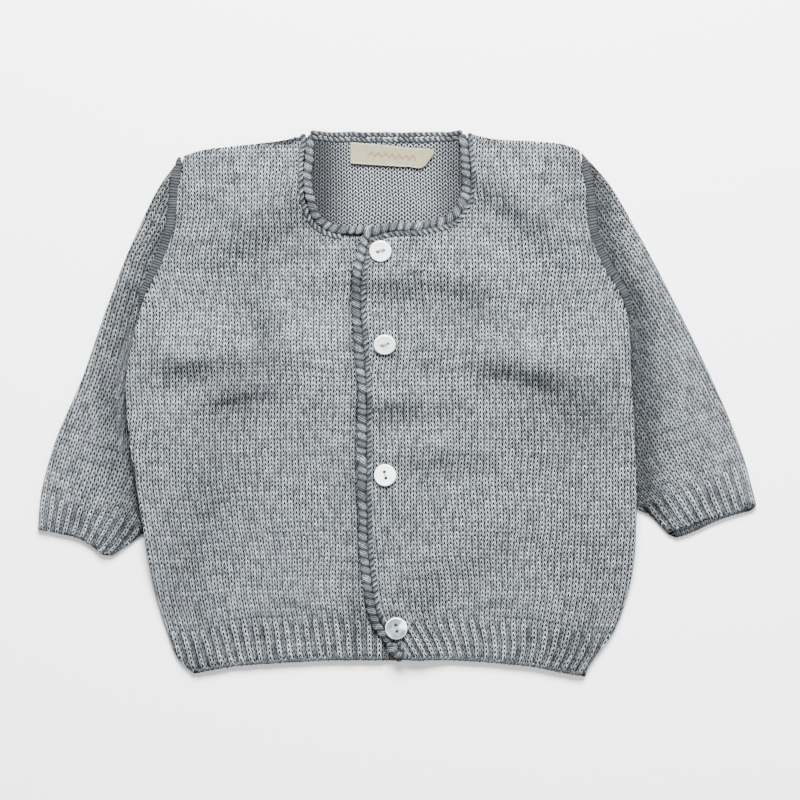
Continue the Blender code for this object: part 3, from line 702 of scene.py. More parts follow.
def sleeve_plan(across, along, side):
    """A sleeve in plan: straight sections from its outer edge (0) to its hidden fold (1), bent in their middle,
    that turn into the armhole's line at the sleeve's head."""
    rows = SLEEVES[side]
    outer = [through(along, rows["along"], rows[key]) for key in ("x", "y")]
    inner = fold_point(through(along, rows["along"], rows["fold"]), side)
    bend = through(along, rows["along"], rows["bend"])
    bend_at = through(along, rows["along"], rows["bend_at"])
    dx, dy = inner[0] - outer[0], inner[1] - outer[1]
    hat = np.minimum(across / bend_at, (1 - across) / (1 - bend_at)) * bend * inward(side)
    x = outer[0] + dx * across + hat * dy / np.hypot(dx, dy)
    y = outer[1] + dy * across - hat * dx / np.hypot(dx, dy)
    start = [through(0.0, rows["along"], rows[key]) for key in ("x", "y")]
    under = fold_point(0.0, side)
    seam_y = blend(start[1], under[1], across)
    seam_x = side_x(seam_y, side) - inward(side) * SLEEVE_SEAM
    head = 1 - ease(along, 0, HEAD)
    return x + (seam_x - blend(start[0], under[0], across)) * head, y


def line_through(line, count=400):
    """Even points along the smooth curve through a line's table, and the unit direction at each."""
    known = np.stack([line["x"], line["y"]], axis=1).astype(float)
    length = np.append(0, np.cumsum(np.hypot(*np.diff(known, axis=0).T)))
    at = np.linspace(0, length[-1], count)
    points = np.stack([through(at, length, known[:, 0]), through(at, length, known[:, 1])], axis=1)
    direction = np.gradient(points, axis=0)
    return points, direction / np.linalg.norm(direction, axis=1)[:, None]


def knit_height(w, c, distance):
    """The relief of the plain side over its wall, which fades at the panel's edge."""
    return (relief(KNIT, w, c) * 1.15 * YARN - KNIT_SUNK) * ease(distance, 0, 1)


def rib_shade(rib, dark):
    """Painted light on a rib's knit wales, which stand up, and painted shade on its purl ones, which sink."""
    return 1 + np.where(rib > 0, RIB_PAINTED_LIGHT, dark) * rib


def make_sleeve(side):
    """A flat tube: its top wall is as high as the tube, less a rounding at its edges, plus a soft bulge."""
    lie = SLEEVE_WALES[side]
    lean = np.radians(lie["lean"])
    axis = np.array([np.sin(lean) * inward(side), np.cos(lean)])
    across_axis = np.array([np.cos(lean) * inward(side), -np.sin(lean)])
    rows = SLEEVES[side]

    def place(w, c):
        """Wales that start along the cuff's opening, side by side with the outer edge, and fan out above it."""
        up = c * COURSE
        along = np.clip(1 - up / SLEEVE_LENGTH, 0, 1)
        beyond = up - SLEEVE_LENGTH * (1 - along)
        drawn = RIB_DRAW * np.cos(np.pi * w) * (1 - ease(up, RIB_BAND - 3, RIB_BAND))
        a = (w - drawn) / lie["wales"]
        spread = lie["opening"] * a + lie["fan"] * a * FAN_LENGTH * (1 - np.exp(-up / FAN_LENGTH))
        spread = spread + lie["drift"] * np.maximum(up - 20, 0)
        start = [through(along, rows["along"], rows[key]) + axis[i] * beyond for i, key in enumerate(("x", "y"))]
        return [start[i] + across_axis[i] * spread + axis[i] * lie["drop"] * a for i in (0, 1)]

    def outline(cuff):
        """Down the outer edge, along the cuff, and up the hidden fold and the armhole."""
        share = np.linspace(0, 1, 90)
        outer = np.stack(sleeve_plan(0.0, share, side), axis=1)
        fold = np.stack(sleeve_plan(1.0, share[::-1][1:], side), axis=1)
        head = np.stack(sleeve_plan(share[::-1][1:-1:2], 0 * share[1:-1:2], side), axis=1)
        return np.concatenate([outer, line_through(cuff, 80)[0][1:], fold, head])

    cuff = CUFFS[side]
    cuff_points = line_through(cuff, 80)[0]
    cuff_share = np.linspace(0, 1, 80)

    def at_cuff(x, y):
        """How far along the cuff's edge its nearest place is, as a share, and how far away it is."""
        away = np.hypot(x[:, None] - cuff_points[:, 0], y[:, None] - cuff_points[:, 1])
        return cuff_share[away.argmin(axis=1)], away.min(axis=1)

    def open_share(x, y):
        """How much the two walls part here: fully along the cuff's edge, but not at its ends or further up."""
        across, away = at_cuff(x, y)
        return ease(across, 0.02, 0.12) * ease(across, 0.52, 0.42) * (1 - ease(away, 4, 9))

    def top(x, y, w, c, distance):
        """Two walls up, rounded at the edges, with its bulge, stitches and ribs, painted light and shade on the
        ribs, and painted shade beside the body.
        """
        outside = -inward(side) * (x - side_x(y, side))
        air = SLEEVE_AIR * ease(distance, 0, 20) * ease(outside, 3, 32)
        air = air - SLEEVE_DIP * ease(np.abs(outside), 14, 3)
        drop = turned_in(distance) * blend(TUBE_MIDDLE / ROLL, 0.6, open_share(x, y))
        rib = ribs(w, c)
        z = 2 * TUBE_MIDDLE - drop + air + knit_height(w, c, distance)
        z = z + SLEEVE_RIB_RISE * rib * ease(distance, 0, 1.5)
        shade = rib_shade(rib, SLEEVE_RIB_SHADE) - BESIDE_BODY_SHADE[side] * ease(np.abs(outside), 24, 5)
        return z, shade

    def low(x, y, distance):
        """The underside lies on the table, turned up at its edges, with painted light in the cuff's opening,
        where the top wall shades it.
        """
        lip = blend(TUBE_MIDDLE / ROLL, CUFF_LIP / ROLL, open_share(x, y))
        return turned_in(distance) * lip, 1 + 0.4 * open_share(x, y)

    def mouth(points):
        """The rim of the cuff's opening moved far up the sleeve between its walls, which lines the tube."""
        x, y = points.T
        depth = CUFF_MOUTH * open_share(x, y) ** 0.5
        inside = np.stack(sleeve_plan(at_cuff(x, y)[0], 1 - depth / SLEEVE_LENGTH, side), axis=1)
        return np.where(depth[:, None] > 0, inside, points), depth

    piece = knit_wall(
        f"sleeve_{side}_knit",
        outline(cuff),
        (steps(-8, 42, WALES), steps(-6, 104, COURSES)),
        (np.arange(-8, 43, 1.5), np.arange(-6, 105, 1.5)),
        place,
        top,
        low,
        knit,
        KNIT,
        low_outline=outline(CUFFS["left under"] if side == "left" else cuff),
        mouth=mouth,
    )
    settle(piece, "knit", f"sleeve_{side}", flat=(0.1, 0.205))


for side in ("right", "left"):
    make_sleeve(side)

# Fronts: two panels of the same knit, the left one lapped over the right. Each ends at the neck and the opening
# beside its crocheted edging, and at the shoulder and the side against the back.

SHOULDER = {
    "x": (-111.2, -106, -86, -57, -48, -42, 31, 38, 47, 75, 89, 95.2),
    "y": (128.4, 130.4, 133.6, 137.2, 139.8, 141.4, 142, 140.2, 138, 136, 134, 131.4),
}
# The middle line of each front's edging: from the shoulder down the neck, along it, and down the opening
EDGINGS = {
    "right": {
        "x": (-44.8, -46.5, -45.2, -41.4, -34.3, -22.4, -4, 3.4, 5.6, 5.6, 5.6, 5.6),
        "y": (139.8, 118, 104.5, 95.9, 91.2, 89.9, 89.3, 86.4, 79, 20, -60, -133.6),
    },
    "left": {
        "x": (33.9, 35.9, 34.6, 29.2, 14, -9, -16, -18.2, -18.1, -18, -15.9, -11.7, -1, 2.4),
        "y": (140.2, 118, 105.4, 97.2, 92.5, 89.9, 86.6, 79.5, 0, -55, -91, -112.3, -128.5, -134),
    },
}
EDGING_WIDTH = 4.8
LAYER = CLOTH + 0.45  # from one layer's underside to the next one's
AIR = 3.4  # how far the fronts stand off the back, away from their seams
LEAST_AIR = 0.5
PRESSED = 1.6  # how far the right front sinks beside the left one's edge
NECK_STAND = 2.6  # how far the right front stands off beside its neck edge
OVER_SLEEVES = 1.07  # how much more than the back the fronts rise over the sleeves
UNDERLAP_EDGE = 8.0  # where the right front ends, under the left one
OVERLAP_SLOPE = 20.0  # over how much of the cloth the left one sinks beyond it
HEM_RIB = 0.7  # how much higher the left front lies on the right one's ribs
FRONT_WALES = {"right": 46, "left": 44}
UNDERARM_PULL = 4.0  # how far the wales bow out beside the underarms
# painted shade on the purl wales of the fronts' ribs
FRONT_RIB_SHADE = 0.45
CREASE_HEIGHT = 1.65
# Main creases: a soft ridge beside a soft trough, along a line turned from the X axis, with painted shade on
# the slope between; the last five are only painted shade or, below 0, painted light
CREASES = {
    "x": (-98, -82, -70, -62, 4, 2, 26, 62, 98, 30, 60, -101, -96, 88, 17, 40, -20, 84, 92, -102, -42, -98, 58),
    "y": (18, 1, 44, 90, 59, -4, -31, 15, -1, -90, 98, -48, -72, -16, 21, 48, -112, 32, -130, -138, 38, 40, 77),
    "turn": (2, 8, 94, 30, -3, 2, 0, -6, -18, 27, -38, 80, 98, -50, 0, -62, 3, 5, 60, -20, 0, 0, -4),
    "long": (24, 13, 18, 30, 30, 18, 18, 17, 22, 32, 34, 36, 30, 16, 6, 18, 60, 30, 16, 9, 18, 24, 40),
    "wide": (7.5, 8, 7, 13, 8, 7, 7, 8.5, 13, 11, 10, 10, 12, 12, 5, 12, 12, 15, 9, 5, 14, 11, 9),
    "height": (4.8, 6.5, -4.4, 5, 3, 2.4, 1.9, 5.6, 4.6, 1.8, 4.6, 2.4, 2, 3.6, 1, 3, 1.4, -2.2, 0, 0, 0, 0, 0),
    "dark": (0.3, 0.4, 0.3, 0.16, 0.16, 0.16, 0.12, 0.14, 0.34, 0.12, 0.14, 0.2, 0.06, 0.1, 0.16, 0.1, 0, 0,
             0.26, 0.4, -0.12, -0.08, -0.07),
}


def crease_lines(x, y):
    """Each crease's own coordinates, along and across its line, 1 where it fades, with its height and painted
    shade.
    """
    for cx, cy, turn, long, wide, height, dark in zip(*CREASES.values()):
        c, s = np.cos(np.radians(turn)), np.sin(np.radians(turn))
        along = ((x - cx) * c + (y - cy) * s) / long
        across = ((y - cy) * c - (x - cx) * s) / wide
        yield across, np.exp(-(across**2 + along**2) / 2), height, dark


def creases(x, y):
    """The sum of the creases: in each, the height times across times a bell of along and across."""
    return sum(height * CREASE_HEIGHT * across * bell for across, bell, height, _ in crease_lines(x, y))


def crease_shade(x, y):
    """The creases' painted shade on their slopes, and below 0 their painted light."""
    return sum(dark * bell for _, bell, _, dark in crease_lines(x, y))


def front_floor(x, y, side):
    """The underside of a front: a layer up from the back, with air and creases away from the seams. The left
    front goes up another layer where it lies on the right one."""
    from_hem = y - hem_y(x)
    from_shoulder = through(x, SHOULDER["x"], SHOULDER["y"]) - y
    free = ease(from_sides(x, y), 0, 34) * ease(from_hem, 0, 30) * ease(from_shoulder, 0, 20)
    height = LAYER + OVER_SLEEVES * lift(x, y) + free * np.maximum(AIR + creases(x, y), LEAST_AIR)
    height = height + NECK_STAND * np.exp(-(((x + 52) / 9) ** 2 + ((y - 116) / 17) ** 2))
    if side == "right":
        height = height - PRESSED * np.exp(-(((x + 21) / 2.4) ** 2)) * ease(y, 84, 70) * ease(from_hem, 8, 26)
    else:
        laps = 1 - ease(x, UNDERLAP_EDGE + 1, UNDERLAP_EDGE + 1 + OVERLAP_SLOPE)
        ribbed = 1 - ease(from_hem, RIB_BAND, RIB_BAND + 10)
        height = height + laps * (LAYER + ribbed * HEM_RIB)
    return height


def beside_line(line, offset, side, count=300):
    """An edging's line moved outwards, towards the cloth that it edges."""
    points, direction = line_through(line, count)
    outward = np.stack([direction[:, 1], -direction[:, 0]], axis=1) * inward(side)
    return points + outward * offset


def make_front(side):
    """A front: courses level but for the hem's curve, and wales even from the opening to the side."""
    edge = beside_line(EDGINGS[side], EDGING_WIDTH / 2 + 1.5 * GAP, side, 160)
    opening = edge[::-1][edge[::-1, 1] < 80]

    def place(w, c):
        """Even shares from the opening to the side, drawn together in the ribs and bowed out at the underarm."""
        y = HEM_MIDDLE + c * COURSE
        level = np.minimum(y, CHEST)
        start = np.interp(level, opening[:, 1], opening[:, 0])
        share = (w - RIB_DRAW * np.cos(np.pi * w) * rib_share(c * COURSE)) / FRONT_WALES[side]
        x = start + (side_x(level, side) - start) * share
        x = x - inward(side) * UNDERARM_PULL * ease(share, 0.35, 0.85) * np.exp(-(((y - 72) / 15) ** 2))
        fade = np.clip(1 - c * COURSE / (NECK_LINE - HEM_MIDDLE), 0, 1) ** 3
        return x, y + (hem_y(x) - HEM_MIDDLE) * fade

    def top(x, y, w, c, distance):
        """The floor and the cloth, rounded at the edges, with stitches and ribs; painted light and shade on the
        ribs, and painted shade in the creases, beside the left front's edge and at the armholes."""
        rib = ribs(w, c)
        z = front_floor(x, y, side) + CLOTH - turned_in(distance) + knit_height(w, c, distance)
        shade = rib_shade(rib, FRONT_RIB_SHADE) - crease_shade(x, y)
        if side == "right":
            # painted shade in the groove where the right front sinks beside the left front's edge
            shade = shade - 0.2 * np.exp(-(((x + 22) / 3.4) ** 2)) * ease(y, 84, 70)
        # painted shade beside the armholes
        shade = shade - 0.16 * ease(from_sides(x, y), 9, 3) * ease(y, 50, 66)
        return z + RIB_RISE * rib * ease(distance, 0, 3), shade

    def low(x, y, _):
        """The underside is the floor itself."""
        return front_floor(x, y, side), 1.0

    end = 0 if side == "right" else -1
    shoulder = edge_line(SHOULDER, edge[0, 0], SHOULDER["x"][end], 50)[1:]
    beside = side_line(side, shoulder[-1, 1], HEM["y"][end], 110)[1:]
    hem = edge_line(HEM, beside[-1, 0], edge[-1, 0], 60)[1:-1]
    piece = knit_wall(
        f"front_{side}_knit",
        np.concatenate([edge[::-1], shoulder, beside, hem]),
        (steps(-1, 50, WALES), steps(-4, 122, COURSES)),
        (np.arange(-1, 51, 1.5), np.arange(-4, 123, 1.5)),
        place,
        top,
        low,
        knit,
        KNIT,
    )
    settle(piece, "knit", f"front_{side}", flat=(0.146, 0.281), rests_on=["back"])


for side in ("right", "left"):
    make_front(side)

# Armhole seams: the sleeve's head is gathered onto the body's edge, so a soft welt of short strands, each across
# the seam, lies along each armhole from the shoulder to the underarm.

ROUND = 14  # points round a cord
RINGS = 11  # rings along one of its stitches


def tube(name, rings, values, finish):
    """A piece from rings of points one after another, closed by its first and last ring."""
    number = np.arange(rings[..., 0].size).reshape(rings.shape[:2])
    beyond = np.roll(number, -1, axis=1)
    faces = np.stack([number[:-1], number[1:], beyond[1:], beyond[:-1]], axis=-1).reshape(-1, 4)
    faces = faces.tolist() + [number[0].tolist(), number[-1, ::-1].tolist()]
    piece = new_piece(name, rings.reshape(-1, 3), faces, values.reshape(-1, 3), finish)
    close(piece)
    return piece


def rope(name, points, floor, size, stitch, finish, slot, node=None):
    """A cord along a line in plan: rings of an ellipse, drawn in where one stitch meets the next.

    size is its width, height and how far its ends taper. A stitch has its pitch, the slant of its grooves as
    turns of a stitch round the cord, the share by which they cut in, how much light their painted shade leaves,
    its plies and their own slant.
    """
    width, height, taper = size
    length = np.append(0, np.cumsum(np.hypot(*np.diff(points, axis=0).T)))
    at = np.linspace(0, length[-1], int(length[-1] / stitch["pitch"] * RINGS))
    centre = np.stack([np.interp(at, length, points[:, axis]) for axis in (0, 1)], axis=1)
    ahead = np.gradient(centre, axis=0)
    ahead /= np.linalg.norm(ahead, axis=1)[:, None]
    beside = np.stack([ahead[:, 1], -ahead[:, 0]], axis=1)
    turn = np.linspace(0, 1, ROUND, endpoint=False)
    angle = (turn - 0.25) * 2 * np.pi
    knots = np.arange(0, length[-1] + 2 * stitch["pitch"], 1.6 * stitch["pitch"])  # between them it is even
    uneven, swayed = [np.interp(at, knots, STRAY[axis, : len(knots), len(name)]) for axis in (0, 1)]
    phase = (at + 0.2 * stitch["pitch"] * uneven)[:, None] / stitch["pitch"] + stitch["slant"] * turn
    bead = np.abs(np.sin(np.pi * phase)) ** 0.65
    ply = stitch["plies"] * phase + stitch["ply_slant"] * turn
    full = 1 - stitch["depth"] * (1 - bead) + 0.05 * np.cos(2 * np.pi * ply) + 0.05 * uneven[:, None]
    ends = np.minimum(at, length[-1] - at) / taper
    full = full * np.sqrt(1 - (1 - np.clip(ends, 0.02, 1)[:, None]) ** 2)
    sway = full * np.cos(angle) * width / 2 + 0.05 * width * swayed[:, None]
    plan = centre[:, None] + beside[:, None] * sway[..., None]
    z = floor(plan[..., 0], plan[..., 1]) + height * (1 + full * np.sin(angle)) / 2
    piece = tube(name, np.dstack([plan, z]), np.dstack([phase, turn + 0 * phase, bead]), finish)
    settle(piece, slot, node)


def level(height):
    """The same height everywhere."""
    return lambda x, y: height + 0 * x


def crochet_finish(name, stitch, lightness):
    """The same yarn crocheted: its plies show across each stitch, with painted shade in the grooves between."""
    finish = Finish(name, GREY, 0.9, **WOOL)
    phase, turn, bead = finish.read("stitch")
    fibre = finish.noise(finish.vector(phase * 2.5, turn * 5.0, 2.0), 3.0, 3.0, 0.6)
    patch = finish.noise(finish.vector(phase * 0.8, turn * 0.9, 7.0), 1.0, 2.0, 0.5)
    ply = ((phase * stitch["plies"] + turn * stitch["ply_slant"]) * np.pi).math("SINE").math("ABSOLUTE")
    groove = bead.ease(0.1, 0.95, stitch["dark"], 1.0)
    light = (ply.ease(0.1, 1.0) * 0.24 + fibre * 0.75 + patch * 0.4 - 0.4) * groove * lightness
    finish.set({"Base Color": greys(finish, light, 1.0), "Normal": finish.bump(ply + fibre * 0.6, 0.25 * MM)})
    return finish.material


GATHER = {"pitch": 1.5, "slant": 0.7, "depth": 0.08, "dark": 0.7, "plies": 1, "ply_slant": 0}
# Its low lightness is painted shade, in the seam's hollow and the shadow beside the body's edge
gathered = crochet_finish("gathered", GATHER, 0.72)
WELT_OUTSIDE = 1.6  # its middle from the body's edge

for side in ("right", "left"):
    seam = side_line(side, SIDES["y"][-1] - 1, UNDERARM[side] - 6, 60) - (inward(side) * WELT_OUTSIDE, 0)
    rope(f"armhole_{side}_seam", seam, level(1.9), (5.2, 2.9, 12.0), GATHER, gathered, "knit")

# Edging: crab stitch, a round cord of slanted stitches, crocheted onto the neck and the two front edges over a
# row of slip stitches that lies on the cloth beside it. The right front's lies pressed under the left front.

EDGING_BACK = {"x": (-45.2, -38, -20, 0, 15, 28, 34.2), "y": (140.6, 139.9, 139.6, 139.5, 139.8, 140.2, 141)}
EDGING_HEIGHT = 3.0
EDGING_PRESSED = 1.5  # the right one's height under the left front
CRAB = {"pitch": 4.3, "slant": -0.9, "depth": 0.26, "dark": 0.35, "plies": 4, "ply_slant": -2.6}
SLIP = {"pitch": 2.8, "slant": 1.2, "depth": 0.42, "dark": 0.2, "plies": 1, "ply_slant": 1.5}
crochet = crochet_finish("crochet", CRAB, 1.24)
slipped = crochet_finish("slipped", SLIP, 1.2)


def stretch(points, start, end):
    """The points of a line that come past start and up to end, by the length along it."""
    at = np.append(0, np.cumsum(np.hypot(*np.diff(points, axis=0).T)))
    return points[(start < at) & (at <= end)]


def on_front(side, height=0.0):
    """This high over a front's underside."""
    return lambda x, y: front_floor(x, y, side) + height


def on_back(height):
    """This high on the back's neck."""
    return lambda x, y: height + neck_lie(x, y)


def pressed(x, y):
    """The right front's underside, sinking where the left front begins to cover it."""
    return front_floor(x, y, "right") - 0.75 * ease(x, -9, -3)


cords, rows = [
    {side: beside_line(EDGINGS[side], offset, side) for side in ("right", "left")}
    for offset in (0, EDGING_WIDTH / 2 + 1.4)
]
cords["back"] = beside_line(EDGING_BACK, 0, "left")
CURLED_END = {"x": (-5.2, -1.6, 1.6, 5.4), "y": (-125.2, -129.4, -131.4, -131.2)}  # at the left front's hem
ROW_SIZE = (3.1, 1.8, 1.5)
ROW_STAND = CLOTH - 0.9  # the row's underside from the front's
crab, slip = (CRAB, crochet, "crochet"), (SLIP, slipped, "crochet")

lapped = stretch(cords["right"], -1, 80)
rope("edging_right_cord", lapped, pressed, (EDGING_WIDTH, 2.6, 2.0), *crab, "edging_right")
tail = stretch(cords["right"], 80, np.inf)
rope("edging_right_tail", tail, on_front("right"), (EDGING_WIDTH, EDGING_PRESSED, 2.0), *crab)
rope("edging_right_row", stretch(rows["right"], -1, 66), on_front("right", ROW_STAND), ROW_SIZE, *slip)
full_size = (EDGING_WIDTH, EDGING_HEIGHT, 2.0)
rope("edging_left_cord", cords["left"], on_front("left"), full_size, *crab, "edging_left")
rope("edging_left_row", rows["left"], on_front("left", ROW_STAND), ROW_SIZE, *slip)
curled = line_through(CURLED_END, 40)[0]
rope("edging_left_end", curled, on_front("left", EDGING_HEIGHT - 0.8), (4.2, 2.4, 1.6), *crab)
rope("edging_back_cord", cords["back"], on_back(0.3), (3.2, 2.9, 1.5), *slip, "edging_back")
rope("edging_back_row", cords["back"] - (0, 2.6), on_back(0.9), (2.8, 1.9, 1.5), *slip)

# Cast-on edges: a thin twisted chain of the knit's own yarn along the hem and round each cuff's opening.

CHAIN = {"pitch": 2.7, "slant": -0.9, "depth": 0.42, "dark": 0.2, "plies": 1, "ply_slant": 1}
chained = crochet_finish("chained", CHAIN, 1.25)

for side, first, last in (("right", -104.5, -7.0), ("left", 6.0, 96.5)):
    hem = edge_line(HEM, first, last, 80) + (0, 1.0)
    rope(f"hem_{side}_chain", hem, on_front(side, GAP), (2.2, 2.0, 2.0), CHAIN, chained, "knit")
for side in ("right", "left"):
    opening = line_through(CUFFS[side], 200)[0][4:112] + (0, 0.9)
    rope(f"cuff_{side}_chain", opening, level(2 * TUBE_MIDDLE - 2.6), (2.1, 2.0, 2.0), CHAIN, chained, "knit")

# Buttons: four two-hole buttons of mother-of-pearl look, 18 ligne, sewn to the left front over the lap. Two are
# sewn with a thread across the face; in the other two the thread lies down in the holes.

BUTTON_RADIUS = 5.7
BUTTON_THICKNESS = 2.2
BUTTON_RIM = 0.7  # width of the level rim
BUTTON_DISH = 0.12  # how far the face lies below it
BUTTON_ROUND = 0.75  # radius of its upper edge
BUTTON_UNDERCUT = 0.9  # how far its underside turns up at the rim
BUTTON_HOLE = 0.86  # radius of a sewing hole
BUTTON_HOLE_SPACING = 3.3
BUTTON_WELL = 1.5  # depth of a sewing hole
BUTTONS = {
    "x": (-8.6, -6.4, -6.2, -0.4),
    "y": (79.2, 30.9, -37.4, -116.9),
    "turn": (15, 20, -77, -78),
    "tilt": (20, 29, 2, 3),
    "thread": ("over", "over", "sunk", "sunk"),
}
# How a thread lies: its reach in hole spacings, how far it stands up, bows aside and slants, and its radius
THREADS = {
    "over": {"reach": 1.15, "rise": 0.5, "bow": 0.85, "slant": 0.0, "radius": 0.36},
    "sunk": {"reach": 0.7, "rise": 0.12, "bow": 0.0, "slant": 0.1, "radius": 0.3},
}
PEARL_WHITE = (0.97, 0.98, 0.975)
PEARL_GREEN = (0.10, 0.145, 0.14)
# painted shade down in a sewing hole
HOLE_SHADE = (0.02, 0.021, 0.022)
THREAD_GREY = (0.08, 0.085, 0.09)
THREAD_DARK = (0.10, 0.105, 0.11)
THREAD_LIGHT = (0.26, 0.27, 0.28)


def pearl_finish(name, depth):
    """Polished shell: clouded bands between white and green grey under clear gloss, painted shade in the holes.
    """
    finish = Finish(name, PEARL_WHITE, 0.22, **{"Coat Weight": 0.6, "Coat Roughness": 0.08})
    at = finish.add("ShaderNodeTexCoord", output="Object")
    cloud = finish.noise(at, 160.0, 2.0, 0.45)
    values = {"Vector": at, "Scale": 45.0, "Distortion": 9.0}
    band = finish.add("ShaderNodeTexWave", {"wave_type": "BANDS"}, values)
    x, y, well = finish.read("stitch")
    radius = (x * x + y * y).math("SQRT")
    wedge = ((x * 0.92 + y * 0.38) / (radius + 0.05)).ease(0.72, 0.92) * radius.ease(0.1, 0.35)
    clouded = cloud.ease(0.42, 0.62) * 0.26 + band * 0.18 + 0.74
    share = clouded * (1 - wedge * 0.8) * radius.ease(0.86, 0.97, 1.0, 0.1) * depth
    face = finish.mix(share, PEARL_WHITE, PEARL_GREEN)
    finish.set({"Base Color": finish.mix(well, face, HOLE_SHADE)})
    return finish.material


def thread_finish():
    """Twisted sewing thread: fine slanted bands of two greys."""
    finish = Finish("thread", THREAD_GREY, 0.8)
    at = finish.add("ShaderNodeTexCoord", output="Object")
    twist = finish.add("ShaderNodeTexWave", {"bands_direction": "DIAGONAL"}, {"Vector": at, "Scale": 700.0})
    light = finish.mix(twist, THREAD_DARK, THREAD_LIGHT)
    finish.set({"Base Color": light, "Normal": finish.bump(twist, 0.1 * MM)})
    return finish.material


pearl_light = pearl_finish("pearl", 0.06)
pearl_deep = pearl_finish("pearl_deep", 1.0)
thread = thread_finish()


def slab(name, upper, lower, values, finish):
    """A piece from two grids of points, one over the other, joined round their rims."""
    number = np.arange(upper[..., 0].size).reshape(upper.shape[:2])
    quads = cells(number).reshape(-1, 4)
    points = np.concatenate([upper.reshape(-1, 3), lower.reshape(-1, 3)])
    faces = quads.tolist() + (quads[:, ::-1] + number.size).tolist()
    piece = new_piece(name, points, faces, np.tile(values.reshape(-1, 3), (2, 1)), finish)
    close(piece, open_rims=True)
    return piece


def make_button(number, x, y, turn, tilt, thread_lie):
    """A disc from a square grid, x = u sqrt(1 - v²/2): its profile by radius, with a well at each hole."""
    u, v = np.meshgrid(*[np.linspace(-1, 1, 61)] * 2)
    disc = np.dstack([u * np.sqrt(1 - v**2 / 2), v * np.sqrt(1 - u**2 / 2)]) * BUTTON_RADIUS
    radius = np.hypot(disc[..., 0], disc[..., 1])
    c, s = np.cos(np.radians(turn)), np.sin(np.radians(turn))
    inner = BUTTON_RADIUS - BUTTON_RIM
    past = np.clip((radius - BUTTON_RADIUS + BUTTON_ROUND) / (BUTTON_ROUND + 0.01), 0, 1)
    well = 0
    for end in (-1, 1):
        reach = end * BUTTON_HOLE_SPACING / 2
        from_hole = np.hypot(disc[..., 0] - reach * c, disc[..., 1] - reach * s)
        well = well + 1 - ease(from_hole, BUTTON_HOLE - 0.2, BUTTON_HOLE + 0.12)
    top = BUTTON_THICKNESS - BUTTON_DISH * (1 - ease(radius, inner - 1.1, inner))
    top = top - BUTTON_ROUND * (1 - np.sqrt(1 - past**2)) - BUTTON_WELL * well
    low = np.minimum(BUTTON_UNDERCUT * ease(radius, BUTTON_RADIUS - 1.2, BUTTON_RADIUS), top - 0.1)
    tilt = np.radians(tilt)
    stand = float(front_floor(x, y, "left")) + CLOTH + GAP + BUTTON_RADIUS * np.sin(tilt) + 0.3

    def in_place(plan, z):
        """Tilted with its neck side up and set on the cloth."""
        px, py = plan[..., 0], plan[..., 1]
        back, up = y + py * np.cos(tilt) - z * np.sin(tilt), stand + py * np.sin(tilt) + z * np.cos(tilt)
        return np.dstack([x + px, back, up])

    finish = pearl_deep if number == 4 else pearl_light
    values = np.dstack([disc / BUTTON_RADIUS, well])
    button = slab(f"button_{number}_pearl", in_place(disc, top), in_place(disc, low), values, finish)
    settle(button, "pearl", f"button_{number}")

    lie = THREADS[thread_lie]
    share = np.linspace(-1, 1, 24)
    reach = share * BUTTON_HOLE_SPACING / 2 * lie["reach"]
    rise = BUTTON_THICKNESS - BUTTON_DISH + lie["rise"] * (1 - np.abs(share) ** 6) - 0.5 * np.abs(share) ** 8
    bow = lie["bow"] * np.cos(np.pi * share / 2) + lie["slant"] * share
    ring = np.linspace(0, 2 * np.pi, 10, endpoint=False)
    along = np.stack([reach * c - bow * s, reach * s + bow * c], axis=1)
    plan = along[:, None] + np.array([-s, c]) * (np.cos(ring) * lie["radius"])[None, :, None]
    rings = in_place(plan, rise[:, None] + np.sin(ring) * lie["radius"])
    settle(tube(f"button_{number}_thread", rings, np.zeros(rings.shape), thread), "knit")


for number, row in enumerate(zip(*BUTTONS.values()), 1):
    make_button(number, *row)

# Label: a cream woven tape sewn inside the back neck by its top edge, with its lower edge standing off a little.
# It has a small woven zigzag and no lettering.

LABEL_CLOTH = 0.45
LABEL_LIFT = 1.2  # how far its lower edge stands off
LABEL = {
    "x": (-24.2, -14, -4, 6, 14, 19.2),
    "top": (135.6, 134.8, 133.9, 132.8, 132.3, 131.9),
    "bottom": (124.6, 123.9, 123.3, 122.8, 123.1, 129.6),
}
CREAM = (0.236, 0.214, 0.133)
CREAM_DEEP = (0.10, 0.085, 0.05)
CREAM_EDGE = (0.40, 0.38, 0.30)
TAN = (0.11, 0.05, 0.02)
THREAD_PITCH = 0.42  # of the weave
TAPE_WIDTH = 10.6
ZIGZAG = {"pitch": 3.6, "height": 4.4, "shift": 1.1, "half_length": 12.2}


